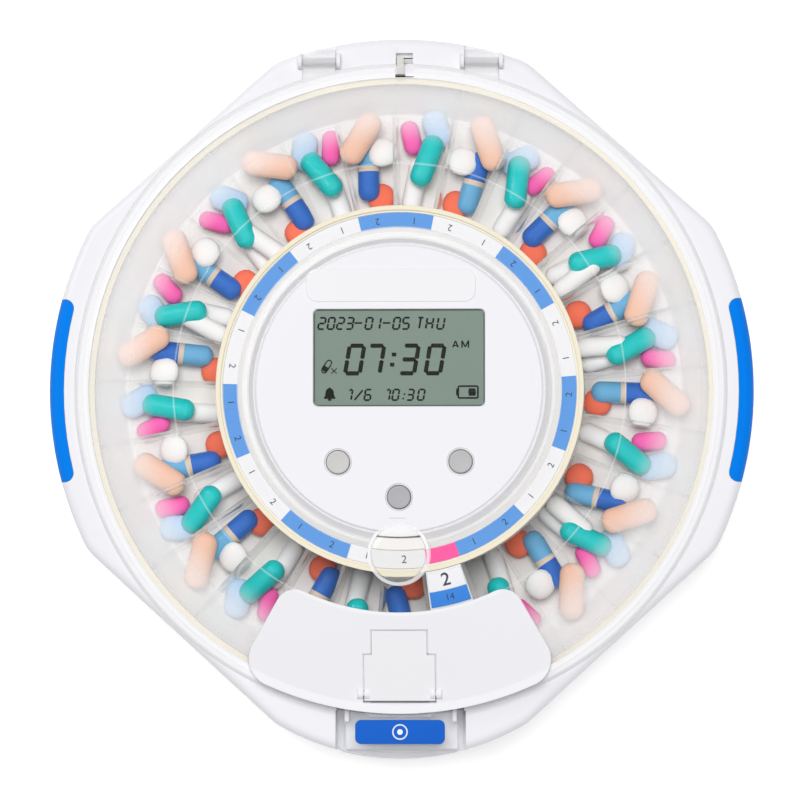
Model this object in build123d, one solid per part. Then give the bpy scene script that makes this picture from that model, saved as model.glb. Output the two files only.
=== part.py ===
from build123d import *
from math import acos, cos, hypot, pi, radians, sin, sqrt, tan
import os

# Automatic pill dispenser. Millimetres, +Z up, the front (press pad) towards -Y.
# Every piece is modelled about the tray's axis and then moved back by AXIS_Y,
# so that the origin is at the bottom centre of the whole object.

# ---- driving dimensions: body ----
LOBE_R = 114.0            # side and rear lobes, from the tray's axis
FRONT_LOBE_R = 78.9       # front lobe's own radius
FRONT_REACH = 4.9         # how much further the front lobe reaches
FLAT_DEPTH = 7.2          # the four flats, behind the lobes
FLAT_ANGLES = (42.5, 138.5, 221.5, 317.5)   # their normals, anticlockwise from the front
CORNER_R = 15.0           # vertical corners of the outline
EDGE_R = 3.0              # rounding of the upper edge
FOOT_H = 1.5
FOOT_R = 6.0
FOOT_IN = 12.0            # feet's centres, in from the cover's edge
COVER_T = 2.0             # bottom cover
COVER_SCREW_IN = 10.0     # cover screws, in from the edge of the hollow
BODY_TOP = 41.5           # top of the lobes
RIM_T = 3.0               # raised rim that the lid rests over
RIM_RISE = 0.6
BODY_WALL = 11.7          # lobes' wall, out from the well that holds the tray
WELL_FLOOR = 17.0
FLOOR_T = 2.0
CAVITY_IN = 2.3           # underside hollow, in from the well
BEARING_R, BEARING_W = 63.5, 3.0
FIT = 0.3                 # gap between pieces that move past each other
SHAFT_GAP = 0.06          # radial play of pins and shafts

# ---- driving dimensions: grips ----
GRIP_T = 4.8
GRIP_HALF = 29.6
GRIP_Z = 6.0
GRIP_CORNER = 3.0

# ---- driving dimensions: hub, dial and electronics ----
HUB_PLAY = 2.3            # hub inside the tips of the ring gear
HUB_WALL = 2.2
DECK_Z, DECK_T = 27.4, 2.0
LEDGE_Z, LEDGE_W = 47.0, 2.2
HUB_TOP = 52.0
DIAL_TOP = 54.5
DIAL_T = 2.0
DIAL_EDGE = 1.2
LCD_W, LCD_H, LCD_CORNER = 55.3, 31.4, 1.6
LCD_FRAME_X, LCD_FRAME_Y = 1.35, 2.3   # display module, out from its window
LCD_Y = 10.0
PANE_T = 1.2
PANE_SINK = 0.3
BUTTON_R = 4.1
BUTTON_PLACES = {"left": (-19.6, -23.6), "right": (19.8, -23.4), "centre": (0.0, -34.8)}
BUTTON_RISE = 0.9
BUTTON_TRAVEL = 0.8
BOARD_T = 1.6
MOTOR_R, MOTOR_H = 12.0, 14.0
MOTOR_OFFSET = 8.0        # motor body's centre from its shaft
MOTOR_HOLE_X, MOTOR_EAR_X = 15.0, 17.5
SHAFT_R = 2.0
BUZZER_R, BUZZER_H = 9.0, 3.5

# ---- driving dimensions: gears ----
MODULE = 1.15
RING_TEETH = 87
PINION_TEETH = 18
PRESSURE = radians(20)
BACKLASH = 0.22           # at the pitch circle
GEAR_Z, GEAR_W = 21.4, 5.0
RING_W = 6.5
BAND_T = 1.75             # ring gear's band, out from the roots

# ---- driving dimensions: tray ----
POCKETS = 29
HOME_ANGLE = 7.45         # first divider, anticlockwise from the front
TRAY_PLAY = 1.0           # tray inside its well
TRAY_WALL = 1.9
TRAY_Z = 19.0
TRAY_FLOOR_T = 2.0
FLOOR_IN = 10.3           # pocket floor's edge, in from the tray's
RIM_Z = 38.5
CHANNEL_W = 4.4           # between the ring gear's band and the pockets' inner wall
INNER_T = 1.7
TRAY_TOP = 50.0
INNER_RISE = 0.6
FIN_T = 1.2
FIN_FLAT_IN = 1.3         # dividers' bend, in from the lid's
FIN_DROP_IN = 5.3         # where the dividers drop, in from the tray's edge
FIN_GAP = 2.0             # dividers below the lid
RING_LABEL_IN, RING_LABEL_W, RING_LABEL_T = 2.4, 4.7, 0.5
INSERT_L, INSERT_T = 16.7, 1.0

# ---- driving dimensions: lid ----
LID_OVER = 3.2            # lid beyond the well
LID_T = 2.0
LID_RIM_Z = 42.4          # underside of the rim
LID_RIM_W = 4.0
LID_SLOPE_Z = 45.5
LID_FLAT_R = 72.8
LID_FLAT_Z = 54.0
STEP_OUT = 5.0            # foot of the raised centre, out from the hub
STEP_W = 1.8
CROWN_Z = 58.8
LENS_R, LENS_OUT = 9.0, 6.1   # magnifier; its centre out from the hub's edge
COLLAR_T = 1.0
LENS_TOP = 60.0
LENS_RISE = 1.6
LENS_GAP = 0.1

# ---- driving dimensions: front panel, flap and press pad ----
PANEL_HALF = 30.0
PANEL_OVER, PANEL_IN = 1.0, 1.1   # panel over the flat top, and in from the lid's edge
PANEL_T = 2.0
PANEL_CORNERS = (6.5, 9.0)
PANEL_EAR_T = 1.8
HATCH_OUT, HATCH_IN, HATCH_STEP = 4.0, 4.0, 7.7
HATCH_W0, HATCH_W1 = 18.4, 23.5
FLAP_T = 1.6
FLAP_GAP = 0.35
FLAP_AXIS_IN = 2.6        # axis, in from the hatch's outer edge
FLAP_AXIS_W = 1.0         # axis above the lid's slope
LUG_R, LUG_T = 1.8, 1.3
LUG_X = 9.9
FLAP_PIN_R = 0.8
CRANK_OUT, CRANK_DOWN = 6.8, 4.2   # crank bar from the flap's axis
CRANK_R = 0.8
PRESS_TRAVEL = 3.1
PAD_HALF = 20.2
PAD_TOP, PAD_BOTTOM = 46.6, 37.0
PAD_WALL = 1.8
PAD_CORNER = 3.0
ARM_X, ARM_W = 7.2, 3.2
LABEL_W, LABEL_D = 29.0, 7.9
LABEL_IN = 8.7            # label's centre, behind the front
LABEL_SINK = 0.5
BRACKET_HALF, BRACKET_T = 18.1, 1.4
NECK_IN, NECK_T = 3.5, 2.0    # where the bracket hangs, in from the panel's edge
SHELF_Z, SHELF_T = 31.5, 2.0
SHELF_IN = 2.9
POST_X, POST_IN, POST_R = 11.0, 7.9, 1.5
POST_TOP = 42.0
SLEEVE_R, SLEEVE_Z = 2.6, 38.4
NOTCH_HALF, NOTCH_Z = 21.0, 29.5

# ---- driving dimensions: screws, latch and lock details ----
SCREW_R, SCREW_HOLE_R, SCREW_END_Z = 1.3, 1.7, 10.0
HEAD_R, HEAD_BORE_R, HEAD_DEPTH, HEAD_SINK = 2.8, 3.0, 1.2, 0.1
BOSS_R = 3.5
LATCH_SLOT_H = 3.6        # slot in the battery box, over the cover
LATCH_ROOT, LATCH_OUT, LATCH_LIFT, LATCH_BITE = 3.0, 2.4, 0.3, 0.2
GROOVE_R, GROOVE_L, GROOVE_IN, GROOVE_UP = 2.5, 16.0, 6.0, 1.4
SLIT_X, SLIT_HALF, SLIT_L = 9.5, 0.5, 12.0   # slits that let the door's tongue bend
HINGE_ROOM = 0.6          # around the lid's knuckles
HOOK_PLAY, HOOK_SLOT_HALF = 0.2, 4.0
STEM_ROOM, WINDOW_LIFT = 0.7, 1.3
COLLAR_OUT, COLLAR_DEPTH = 1.5, 1.2

# ---- driving dimensions: keys, board and motor details ----
KEY_PLAY, KEY_EDGE = 0.3, 0.4
KEY_FLANGE, KEY_FLANGE_Z0, KEY_FLANGE_Z1 = 0.8, 1.0, 0.1   # flange beyond the cap, and below the dial
SWITCH_HALF, SWITCH_PIN_R, SWITCH_PIN_H = 3.0, 1.7, 0.5
BOARD_PLAY = 0.4
SEAT_LIP, SEAT_GAP, SEAT_T, SEAT_H = 0.1, 0.2, 1.4, 2.0    # dial's seat on the hub
GEAR_ROOM, SHAFT_ROOM = 0.8, 1.0
MOTOR_EAR_HALF, MOTOR_EAR_T, MOTOR_EAR_CORNER, MOTOR_HOLE_R = 3.5, 1.2, 3.0, 1.6
MOTOR_SCREW_R, MOTOR_HEAD_R, MOTOR_HEAD_T = 1.5, 2.8, 1.6
ROOT_DEPTH, TIP_HEIGHT = 1.2, 0.95                         # in modules

# ---- driving dimensions: tray details ----
KNEE_DOWN = 2.5           # top of the sloping wall, below the rim
FLANGE_DOWN, FLANGE_PLAY = 2.4, 1.8
GEAR_LIFT, BORE_PLAY = 1.5, 0.35
GROOVE_LIP, GROOVE_PLAY = 0.9, 0.2

# ---- driving dimensions: rear hinge ----
HINGE_OUT, HINGE_Z = 1.1, 42.0   # axis, out from the lid's edge
KNUCKLE_X, KNUCKLE_W, KNUCKLE_R = 26.3, 10.6, 3.8
HINGE_PIN_R = 1.2
EAR_R, EAR_T = 2.6, 1.3

# ---- driving dimensions: key lock ----
LOCK_Z, LOCK_R = 33.0, 4.5
LOCK_DEPTH = 5.9
LOCK_CRANK = 1.7
LOCK_PIN_R = 0.8
HOOK_W, HOOK_T = 2.2, 1.4
HOOK_IN = 1.8             # hook, in front of the cylinder
HOOK_TRAVEL = 2.4
STEM_Z = 37.7             # top of the hook's plate
NOSE_Z, NOSE_T, NOSE_IN = 43.8, 1.0, 3.3
LIP_T, LIP_IN = 1.0, 2.1  # the lid's lip under the nose, and its edge in from the lid's
WINDOW_X0, WINDOW_X1, WINDOW_Y0, WINDOW_Y1 = -1.5, 3.9, 1.1, 2.9

# ---- driving dimensions: batteries ----
CELL_R, CELL_L, CELL_PITCH = 7.25, 50.5, 14.9
CELL_Z = 11.45
NUB_R, NUB_L = 2.75, 1.0
BOX_X, BOX_Y, BOX_WALL, BOX_TOP = 30.0, 28.4, 1.5, 19.0
DOOR_GAP = 0.4
DOOR_HOOK_X, DOOR_HOOK_W = 14.9, 5.0
DOOR_HOOK_T = 1.0

# ---- sizes that follow from them ----
AXIS_Y = FRONT_REACH / 2
FRONT_Y = LOBE_R + FRONT_REACH
FRONT_LOBE_Y = FRONT_Y - FRONT_LOBE_R
FLAT_R = LOBE_R - FLAT_DEPTH
WELL_R = LOBE_R - BODY_WALL
CAVITY_R = WELL_R - CAVITY_IN
COVER_R = CAVITY_R - FIT
FOOT_XY = (COVER_R - FOOT_IN) / sqrt(2)
TRAY_R = WELL_R - TRAY_PLAY
FLOOR_R = TRAY_R - FLOOR_IN
LID_R = WELL_R + LID_OVER
LID_SLOPE_R = LID_R - LID_RIM_W
LID_SLOPE = (LID_FLAT_Z - LID_SLOPE_Z) / (LID_SLOPE_R - LID_FLAT_R)
SLOPE_COS = 1 / hypot(1, LID_SLOPE)
LID_DROP = LID_T / SLOPE_COS
PITCH = 360 / POCKETS
FLOOR_Z = TRAY_Z + TRAY_FLOOR_T
RING_PITCH_R = MODULE * RING_TEETH / 2
PINION_PITCH_R = MODULE * PINION_TEETH / 2
GEAR_Y = RING_PITCH_R - PINION_PITCH_R
RING_ROOT_R = RING_PITCH_R + 1.25 * MODULE
RING_TIP_R = RING_PITCH_R - 0.6 * MODULE
BAND_R = RING_ROOT_R + BAND_T
INNER_R = BAND_R + CHANNEL_W + INNER_T
HUB_R = RING_TIP_R - HUB_PLAY
LABEL_R1 = INNER_R - RING_LABEL_IN
LABEL_R0 = LABEL_R1 - RING_LABEL_W
INSERT_R = INNER_R + INSERT_L
FIN_FLAT_R = LID_FLAT_R - FIN_FLAT_IN
FIN_DROP_R = TRAY_R - FIN_DROP_IN
STEP_R = HUB_R + STEP_OUT
CROWN_R = STEP_R - STEP_W
LENS_Y = HUB_R + LENS_OUT
PANEL_R0 = LID_FLAT_R - PANEL_OVER
PANEL_R1 = LID_R - PANEL_IN
HATCH_R0 = LID_FLAT_R + HATCH_OUT
HATCH_R1 = PANEL_R1 - HATCH_IN
HATCH_STEP_R = HATCH_R0 + HATCH_STEP
FLAP_AXIS_R = HATCH_R1 - FLAP_AXIS_IN
NECK_Y = PANEL_R1 - NECK_IN
SHELF_Y = FRONT_Y - SHELF_IN
POST_Y = FRONT_Y - POST_IN
LABEL_Y = FRONT_Y - LABEL_IN
HINGE_Y = LID_R + HINGE_OUT
LOCK_Y0 = LOBE_R - LOCK_DEPTH
HOOK_Y = LOCK_Y0 - HOOK_IN
NOSE_Y = LID_R - NOSE_IN
LIP_Y = LID_R - LIP_IN
WINDOW = (WINDOW_X0, WINDOW_X1, HOOK_Y - WINDOW_Y0, HOOK_Y + WINDOW_Y1)
DIAL_Z = DIAL_TOP - DIAL_T
COVER_Z = FOOT_H
COVER_TOP = FOOT_H + COVER_T
FLAP_AXIS_Z = LID_FLAT_Z - (FLAP_AXIS_R - LID_FLAT_R) * LID_SLOPE + FLAP_AXIS_W / SLOPE_COS


def save(node, shape):
    export_step(Pos(0, AXIS_Y, 0) * shape, f"parts/{node}.step")


def slope_z(r):
    """Height of the lid's upper surface at radius r."""
    return LID_FLAT_Z - max(r - LID_FLAT_R, 0) * LID_SLOPE


def tube(r_out, r_in, z0, z1):
    ring = Circle(r_out) - Circle(r_in)
    return Pos(0, 0, z0) * extrude(ring, z1 - z0)


def rod(r, z0, z1, x=0, y=0):
    return Pos(x, y, (z0 + z1) / 2) * Cylinder(r, z1 - z0)


def rod_x(r, x0, x1, y, z):
    return Pos((x0 + x1) / 2, y, z) * Rot(0, 90, 0) * Cylinder(r, x1 - x0)


def rod_y(r, y0, y1, x, z):
    return Pos(x, (y0 + y1) / 2, z) * Rot(90, 0, 0) * Cylinder(r, y1 - y0)


def block(x0, x1, y0, y1, z0, z1):
    return Pos((x0 + x1) / 2, (y0 + y1) / 2, (z0 + z1) / 2) * Box(x1 - x0, y1 - y0, z1 - z0)


def spin(points):
    """Solid of revolution from (radius, height) points."""
    return revolve(Plane.XZ * Polygon(*points, align=None), Axis.Z)


def side_plate(points, x0, x1):
    """Plate that spans x0 to x1, from (y, z) points."""
    return Pos(x0, 0, 0) * extrude(Plane.YZ * Polygon(*points, align=None), x1 - x0, dir=(1, 0, 0))


def mirrored(shape):
    return shape + mirror(shape, Plane.YZ)


# ---------------------------------------------------------------- outline
def outline():
    """The body's plan: round lobes, four flats, and a front lobe that reaches further."""
    plan = Circle(LOBE_R) + Pos(0, -FRONT_LOBE_Y) * Circle(FRONT_LOBE_R)
    big = 4 * LOBE_R
    for angle in FLAT_ANGLES:
        plan -= Rot(0, 0, angle - 90) * Pos(FLAT_R + big / 2, 0) * Rectangle(big, big)
    corners = [v for v in plan.vertices() if hypot(v.X, v.Y) > FLAT_R]
    return fillet(corners, CORNER_R)


def outer_body():
    body = Pos(0, 0, COVER_Z) * extrude(outline(), BODY_TOP - COVER_Z)
    body = fillet(body.edges().group_by(Axis.Z)[-1], EDGE_R)
    return chamfer(body.edges().group_by(Axis.Z)[0], EDGE_R / 2)


def grip_zone(side, gap):
    """Space of one side grip, grown by gap."""
    inner = LOBE_R - GRIP_T - gap
    half = GRIP_HALF + gap
    plan = Rectangle(4 * LOBE_R, 2 * half) - Circle(inner)
    plan = plan & (Pos(side * LOBE_R, 0) * Rectangle(LOBE_R, 4 * half))
    corners = [v for v in plan.vertices() if abs(v.X) < LOBE_R]
    plan = fillet(corners, GRIP_CORNER)
    return Pos(0, 0, GRIP_Z - gap) * extrude(plan, BODY_TOP)


def make_grips(body):
    save("grip_left", body & grip_zone(-1, 0))
    save("grip_right", body & grip_zone(1, 0))


# ---------------------------------------------------------------- base
def hinge_notches():
    """Room for the lid's two knuckles."""
    room = KNUCKLE_R + HINGE_ROOM
    x0, x1 = KNUCKLE_X - KNUCKLE_W / 2 - FIT, KNUCKLE_X + KNUCKLE_W / 2 + FIT
    notch = block(x0, x1, WELL_R - 10, HINGE_Y + 20, HINGE_Z - room, HINGE_Z + 10)
    return mirrored(notch)


def hinge_ears():
    """Lugs on the base that hold the ends of the hinge pins."""
    ears = []
    for side in (-1, 1):
        face = side * (KNUCKLE_W / 2 + FIT)
        x0, x1 = sorted((KNUCKLE_X + face, KNUCKLE_X + face + side * EAR_T))
        ear = rod_x(EAR_R, x0, x1, HINGE_Y, HINGE_Z)
        ear += block(x0, x1, HINGE_Y - EAR_R, HINGE_Y + EAR_R, HINGE_Z - EAR_R, BODY_TOP)
        ears.append(ear)
    return mirrored(ears[0] + ears[1])


def lock_pocket():
    """Guide for the sliding hook, its window, and the key cylinder's bore."""
    play, wide = HOOK_PLAY, HOOK_SLOT_HALF
    pocket = block(-wide - FIT, wide + HOOK_TRAVEL + FIT, HOOK_Y - play, LOCK_Y0,
                   LOCK_Z - LOCK_R, STEM_Z + FIT)
    stem = block(WINDOW[0], WINDOW[1], HOOK_Y - play, HOOK_Y + HOOK_T + play,
                 STEM_Z - STEM_ROOM, BODY_TOP + 2)
    window = block(*WINDOW, STEM_Z + WINDOW_LIFT, BODY_TOP + 2)
    bore = rod_y(LOCK_R + SHAFT_GAP, LOCK_Y0 - 0.1, LOBE_R + 2, 0, LOCK_Z)
    collar = rod_y(LOCK_R + COLLAR_OUT, LOBE_R - COLLAR_DEPTH, LOBE_R + 2, 0, LOCK_Z)
    return pocket + stem + window + bore + collar


def make_base(body):
    base = body - grip_zone(-1, 0.05) - grip_zone(1, 0.05)
    base += tube(WELL_R + RIM_T, WELL_R, BODY_TOP - 1, BODY_TOP + RIM_RISE)
    base -= rod(WELL_R, WELL_FLOOR, 2 * BODY_TOP)
    base -= rod(CAVITY_R, 0, WELL_FLOOR - FLOOR_T)
    base -= rod(HUB_R - HUB_WALL - 0.5, 0, 2 * WELL_FLOOR)
    base += tube(BEARING_R + BEARING_W / 2, BEARING_R - BEARING_W / 2, WELL_FLOOR - 0.5, TRAY_Z - FIT)
    for x, y in screw_places():
        base += tube_at(x, y, BOSS_R, SCREW_R, COVER_TOP, WELL_FLOOR - FLOOR_T)
    base -= block(-NOTCH_HALF, NOTCH_HALF, -2 * LOBE_R, -WELL_R + 5, NOTCH_Z, 2 * BODY_TOP)
    base -= hinge_notches()
    base += hinge_ears()
    base -= hinge_bores()
    base -= lock_pocket()
    save("base_shell", base)


def tube_at(x, y, r_out, r_in, z0, z1):
    return Pos(x, y, 0) * tube(r_out, r_in, z0, z1)


def screw_places():
    r = CAVITY_R - COVER_SCREW_IN
    return [(r * cos(radians(a)), r * sin(radians(a))) for a in range(30, 390, 60)]


def hinge_bores():
    reach = KNUCKLE_W / 2 + FIT + EAR_T
    return mirrored(rod_x(HINGE_PIN_R, KNUCKLE_X - reach, KNUCKLE_X + reach, HINGE_Y, HINGE_Z))


def make_hinge_pins():
    save("hinge_pins", hinge_bores())


def make_feet():
    feet = [rod(FOOT_R, 0, FOOT_H, x, y) for x in (-FOOT_XY, FOOT_XY) for y in (-FOOT_XY, FOOT_XY)]
    save("rubber_feet", feet[0] + feet[1] + feet[2] + feet[3])


# ---------------------------------------------------------------- underside
def make_cover():
    """Bottom cover with the battery box standing on it."""
    cover = rod(COVER_R, COVER_Z, COVER_TOP)
    cover += block(-BOX_X - BOX_WALL, BOX_X + BOX_WALL, -BOX_Y - BOX_WALL, BOX_Y + BOX_WALL,
                   COVER_TOP, BOX_TOP + BOX_WALL)
    cover -= block(-BOX_X, BOX_X, -BOX_Y, BOX_Y, 0, BOX_TOP)
    for x in (-DOOR_HOOK_X, DOOR_HOOK_X):
        half = DOOR_HOOK_W / 2 + DOOR_GAP
        cover -= block(x - half, x + half, BOX_Y - 1, BOX_Y + 2 * BOX_WALL,
                       COVER_TOP, COVER_TOP + LATCH_SLOT_H)
    for x, y in screw_places():
        cover -= rod(SCREW_HOLE_R, COVER_Z, COVER_TOP, x, y)
        cover -= rod(HEAD_BORE_R, COVER_Z, COVER_Z + HEAD_DEPTH, x, y)
    save("bottom_cover", cover)


def make_cover_screws():
    screws = []
    for x, y in screw_places():
        head = rod(HEAD_R, COVER_Z + HEAD_SINK, COVER_Z + HEAD_DEPTH, x, y)
        screws.append(head + rod(SCREW_R, COVER_Z + HEAD_DEPTH, SCREW_END_Z, x, y))
    save("cover_screws", Compound(screws))


def make_battery_door():
    """Snap-in door that pivots on its rounded rear edge, with a finger groove at the front."""
    half_x, half_y = BOX_X - DOOR_GAP, BOX_Y - DOOR_GAP
    nose = COVER_T / 2
    door = block(-half_x, half_x, -half_y, half_y - nose, COVER_Z, COVER_TOP)
    door += rod_x(nose, -half_x, half_x, half_y - nose, COVER_Z + nose)
    for x in (-DOOR_HOOK_X, DOOR_HOOK_X):
        x0, x1 = x - DOOR_HOOK_W / 2, x + DOOR_HOOK_W / 2
        root, tip = half_y - LATCH_ROOT, half_y + LATCH_OUT
        foot, lift = COVER_TOP - LATCH_BITE, COVER_TOP + LATCH_LIFT
        door += side_plate([(root, foot), (half_y, foot), (half_y, lift), (tip, lift),
                            (tip, lift + DOOR_HOOK_T), (root, lift + DOOR_HOOK_T)], x0, x1)
    groove = Rot(0, 90, 0) * Cylinder(GROOVE_R, GROOVE_L)
    door -= Pos(0, GROOVE_IN - half_y, COVER_Z - GROOVE_UP) * groove
    for x in (-SLIT_X, SLIT_X):
        door -= block(x - SLIT_HALF, x + SLIT_HALF, -half_y - 1, SLIT_L - half_y, 0, 2 * COVER_TOP)
    save("battery_door", door)


def cell_places():
    return [((i - 1.5) * CELL_PITCH, 1 if i % 2 else -1) for i in range(4)]


def make_batteries():
    cells = []
    for x, way in cell_places():
        half = CELL_L / 2
        y0, y1 = (-half, half - NUB_L) if way > 0 else (-half + NUB_L, half)
        cell = rod_y(CELL_R, y0, y1, x, CELL_Z)
        n0, n1 = (half - NUB_L, half) if way > 0 else (-half, -half + NUB_L)
        cells.append(cell + rod_y(NUB_R, n0, n1, x, CELL_Z))
    save("batteries", Compound(cells))


def make_contacts():
    """Sprung metal plates at both ends of every cell."""
    plate_t, plate_half = 0.5, 4.8
    contacts = []
    for x, way in cell_places():
        for end in (-1, 1):
            wall, tip = end * BOX_Y, end * (CELL_L / 2 + 0.05)
            y0, y1 = sorted((wall, wall - end * plate_t))
            plate = block(x - plate_half, x + plate_half, y0, y1, CELL_Z - 5, CELL_Z + 5)
            y0, y1 = sorted((wall - end * plate_t, tip))
            contacts.append(plate + rod_y(2.0, y0, y1, x, CELL_Z))
    save("battery_contacts", Compound(contacts))


# ---------------------------------------------------------------- hub and electronics
def make_hub():
    """Column in the tray's bore: deck for the motor, ledge for the board, window for the gear."""
    hub = tube(HUB_R, HUB_R - HUB_WALL, WELL_FLOOR, HUB_TOP)
    hub += rod(HUB_R - HUB_WALL / 2, DECK_Z, DECK_Z + DECK_T)
    inner = HUB_R - HUB_WALL
    hub += spin([(inner + 0.5, LEDGE_Z), (inner - LEDGE_W, LEDGE_Z), (inner - LEDGE_W, LEDGE_Z - 1),
                 (inner + 0.5, LEDGE_Z - 1 - LEDGE_W)])
    tip = PINION_PITCH_R + 2
    hub -= block(-tip, tip, GEAR_Y - tip, HUB_R + 5, GEAR_Z - GEAR_ROOM, GEAR_Z + GEAR_W + GEAR_ROOM)
    hub -= rod(SHAFT_R + SHAFT_ROOM, DECK_Z - 1, DECK_Z + DECK_T + 1, 0, GEAR_Y)
    save("hub_column", hub)


def make_dial():
    dial = rod(HUB_R, DIAL_Z, DIAL_TOP)
    dial = chamfer(dial.edges().group_by(Axis.Z)[-1], DIAL_EDGE)
    dial += tube(HUB_R, HUB_R - HUB_WALL + SEAT_LIP, HUB_TOP, DIAL_Z)
    locating = HUB_R - HUB_WALL - SEAT_GAP
    dial += tube(locating, locating - SEAT_T, HUB_TOP - SEAT_H, DIAL_Z)
    pane = RectangleRounded(LCD_W, LCD_H, LCD_CORNER)
    pane_z = DIAL_TOP - PANE_SINK - PANE_T
    dial -= Pos(0, LCD_Y, pane_z) * extrude(pane, 5)
    dial -= Pos(0, LCD_Y, DIAL_Z - 1) * extrude(RectangleRounded(LCD_W - 2, LCD_H - 2, 1), 5)
    for x, y in BUTTON_PLACES.values():
        dial -= rod(BUTTON_R + KEY_PLAY, DIAL_Z - 1, DIAL_TOP + 1, x, y)
    save("dial_cap", dial)


def make_lcd():
    pane = RectangleRounded(LCD_W - 0.1, LCD_H - 0.1, LCD_CORNER)
    save("lcd_window", Pos(0, LCD_Y, DIAL_TOP - PANE_SINK - PANE_T) * extrude(pane, PANE_T))
    board_top = LEDGE_Z + BOARD_T
    frame = RectangleRounded(LCD_W + 2 * LCD_FRAME_X, LCD_H + 2 * LCD_FRAME_Y, 1)
    module = Pos(0, LCD_Y, board_top) * extrude(frame, DIAL_Z - 0.1 - board_top)
    save("lcd_module", module)


def make_buttons():
    """Round keys with a flange under the dial; they press on small switches."""
    for side, (x, y) in BUTTON_PLACES.items():
        cap = rod(BUTTON_R, DIAL_Z - KEY_FLANGE_Z1, DIAL_TOP + BUTTON_RISE, x, y)
        cap = chamfer(cap.edges().group_by(Axis.Z)[-1], KEY_EDGE)
        cap += rod(BUTTON_R + KEY_FLANGE, DIAL_Z - KEY_FLANGE_Z0, DIAL_Z - KEY_FLANGE_Z1, x, y)
        save(f"button_{side}", cap)


def make_board():
    board_top = LEDGE_Z + BOARD_T
    board = rod(HUB_R - HUB_WALL - BOARD_PLAY, LEDGE_Z, board_top)
    save("main_board", board)
    switches = []
    top = DIAL_Z - KEY_FLANGE_Z0 - BUTTON_TRAVEL - 0.1
    for x, y in BUTTON_PLACES.values():
        switch = block(x - SWITCH_HALF, x + SWITCH_HALF, y - SWITCH_HALF, y + SWITCH_HALF,
                       board_top, top - SWITCH_PIN_H)
        switches.append(switch + rod(SWITCH_PIN_R, top - SWITCH_PIN_H, top, x, y))
    save("tact_switches", Compound(switches))
    save("buzzer", rod(BUZZER_R, LEDGE_Z - BUZZER_H, LEDGE_Z, 0, -20) - rod(1.5, 0, LEDGE_Z - 1, 0, -20))


# ---------------------------------------------------------------- drive
def involute_half_angle(r, teeth, pitch_r, extra):
    """Half the angle of a tooth at radius r; extra thickens it at the pitch circle."""
    base = pitch_r * cos(PRESSURE)
    spread = tan(PRESSURE) - PRESSURE
    a = acos(min(base / r, 1))
    return pi / (2 * teeth) + extra / (2 * pitch_r) + spread - (tan(a) - a)


def gear_points(teeth, root_r, tip_r, extra, steps):
    """Closed outline of an involute gear with one tooth centred on +Y."""
    pitch_r = MODULE * teeth / 2
    base = pitch_r * cos(PRESSURE)
    low = max(root_r, base)
    radii = [low + (tip_r - low) * i / (steps - 1) for i in range(steps)]
    flank = [(r, involute_half_angle(r, teeth, pitch_r, extra)) for r in radii]
    if root_r < base:
        flank.insert(0, (root_r, flank[0][1]))
    points = []
    for k in range(teeth):
        centre = 2 * pi * k / teeth
        points += [(r * sin(centre - a), r * cos(centre - a)) for r, a in flank]
        points += [(r * sin(centre + a), r * cos(centre + a)) for r, a in reversed(flank)]
    return points


def make_drive():
    root = PINION_PITCH_R - ROOT_DEPTH * MODULE
    tip = PINION_PITCH_R + TIP_HEIGHT * MODULE
    outline_points = gear_points(PINION_TEETH, root, tip, -BACKLASH / 2, 4)
    gear = Pos(0, GEAR_Y, GEAR_Z) * extrude(Polygon(*outline_points, align=None), GEAR_W, dir=(0, 0, 1))
    gear -= rod(SHAFT_R, 0, 2 * GEAR_Z, 0, GEAR_Y)
    save("drive_gear", gear)
    shaft_top = DECK_Z + DECK_T + 4
    save("motor_shaft", rod(SHAFT_R, GEAR_Z - 0.3, shaft_top, 0, GEAR_Y))
    deck = DECK_Z + DECK_T
    centre_y = GEAR_Y - MOTOR_OFFSET
    motor = rod(MOTOR_R, deck, deck + MOTOR_H, 0, centre_y)
    ear = block(-MOTOR_EAR_X, MOTOR_EAR_X, centre_y - MOTOR_EAR_HALF, centre_y + MOTOR_EAR_HALF,
                deck, deck + MOTOR_EAR_T)
    motor += fillet(ear.edges().filter_by(Axis.Z), MOTOR_EAR_CORNER)
    for x in (-MOTOR_HOLE_X, MOTOR_HOLE_X):
        motor -= rod(MOTOR_HOLE_R, deck - 1, deck + 3, x, centre_y)
    motor -= rod(SHAFT_R + SHAFT_GAP, deck - 1, shaft_top + 0.4, 0, GEAR_Y)
    save("drive_motor", motor)
    screws = []
    for x in (-MOTOR_HOLE_X, MOTOR_HOLE_X):
        seat = deck + MOTOR_EAR_T
        head = rod(MOTOR_HEAD_R, seat, seat + MOTOR_HEAD_T, x, centre_y)
        screws.append(head + rod(MOTOR_SCREW_R, deck, seat, x, centre_y))
    save("motor_screws", Compound(screws))


# ---------------------------------------------------------------- tray
def outer_wall_r(z):
    """Inner face of the pockets' sloping outer wall."""
    rim = TRAY_R - TRAY_WALL
    share = min((z - FLOOR_Z) / (RIM_Z - KNEE_DOWN - FLOOR_Z), 1)
    return FLOOR_R + (rim - FLOOR_R) * share


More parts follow.
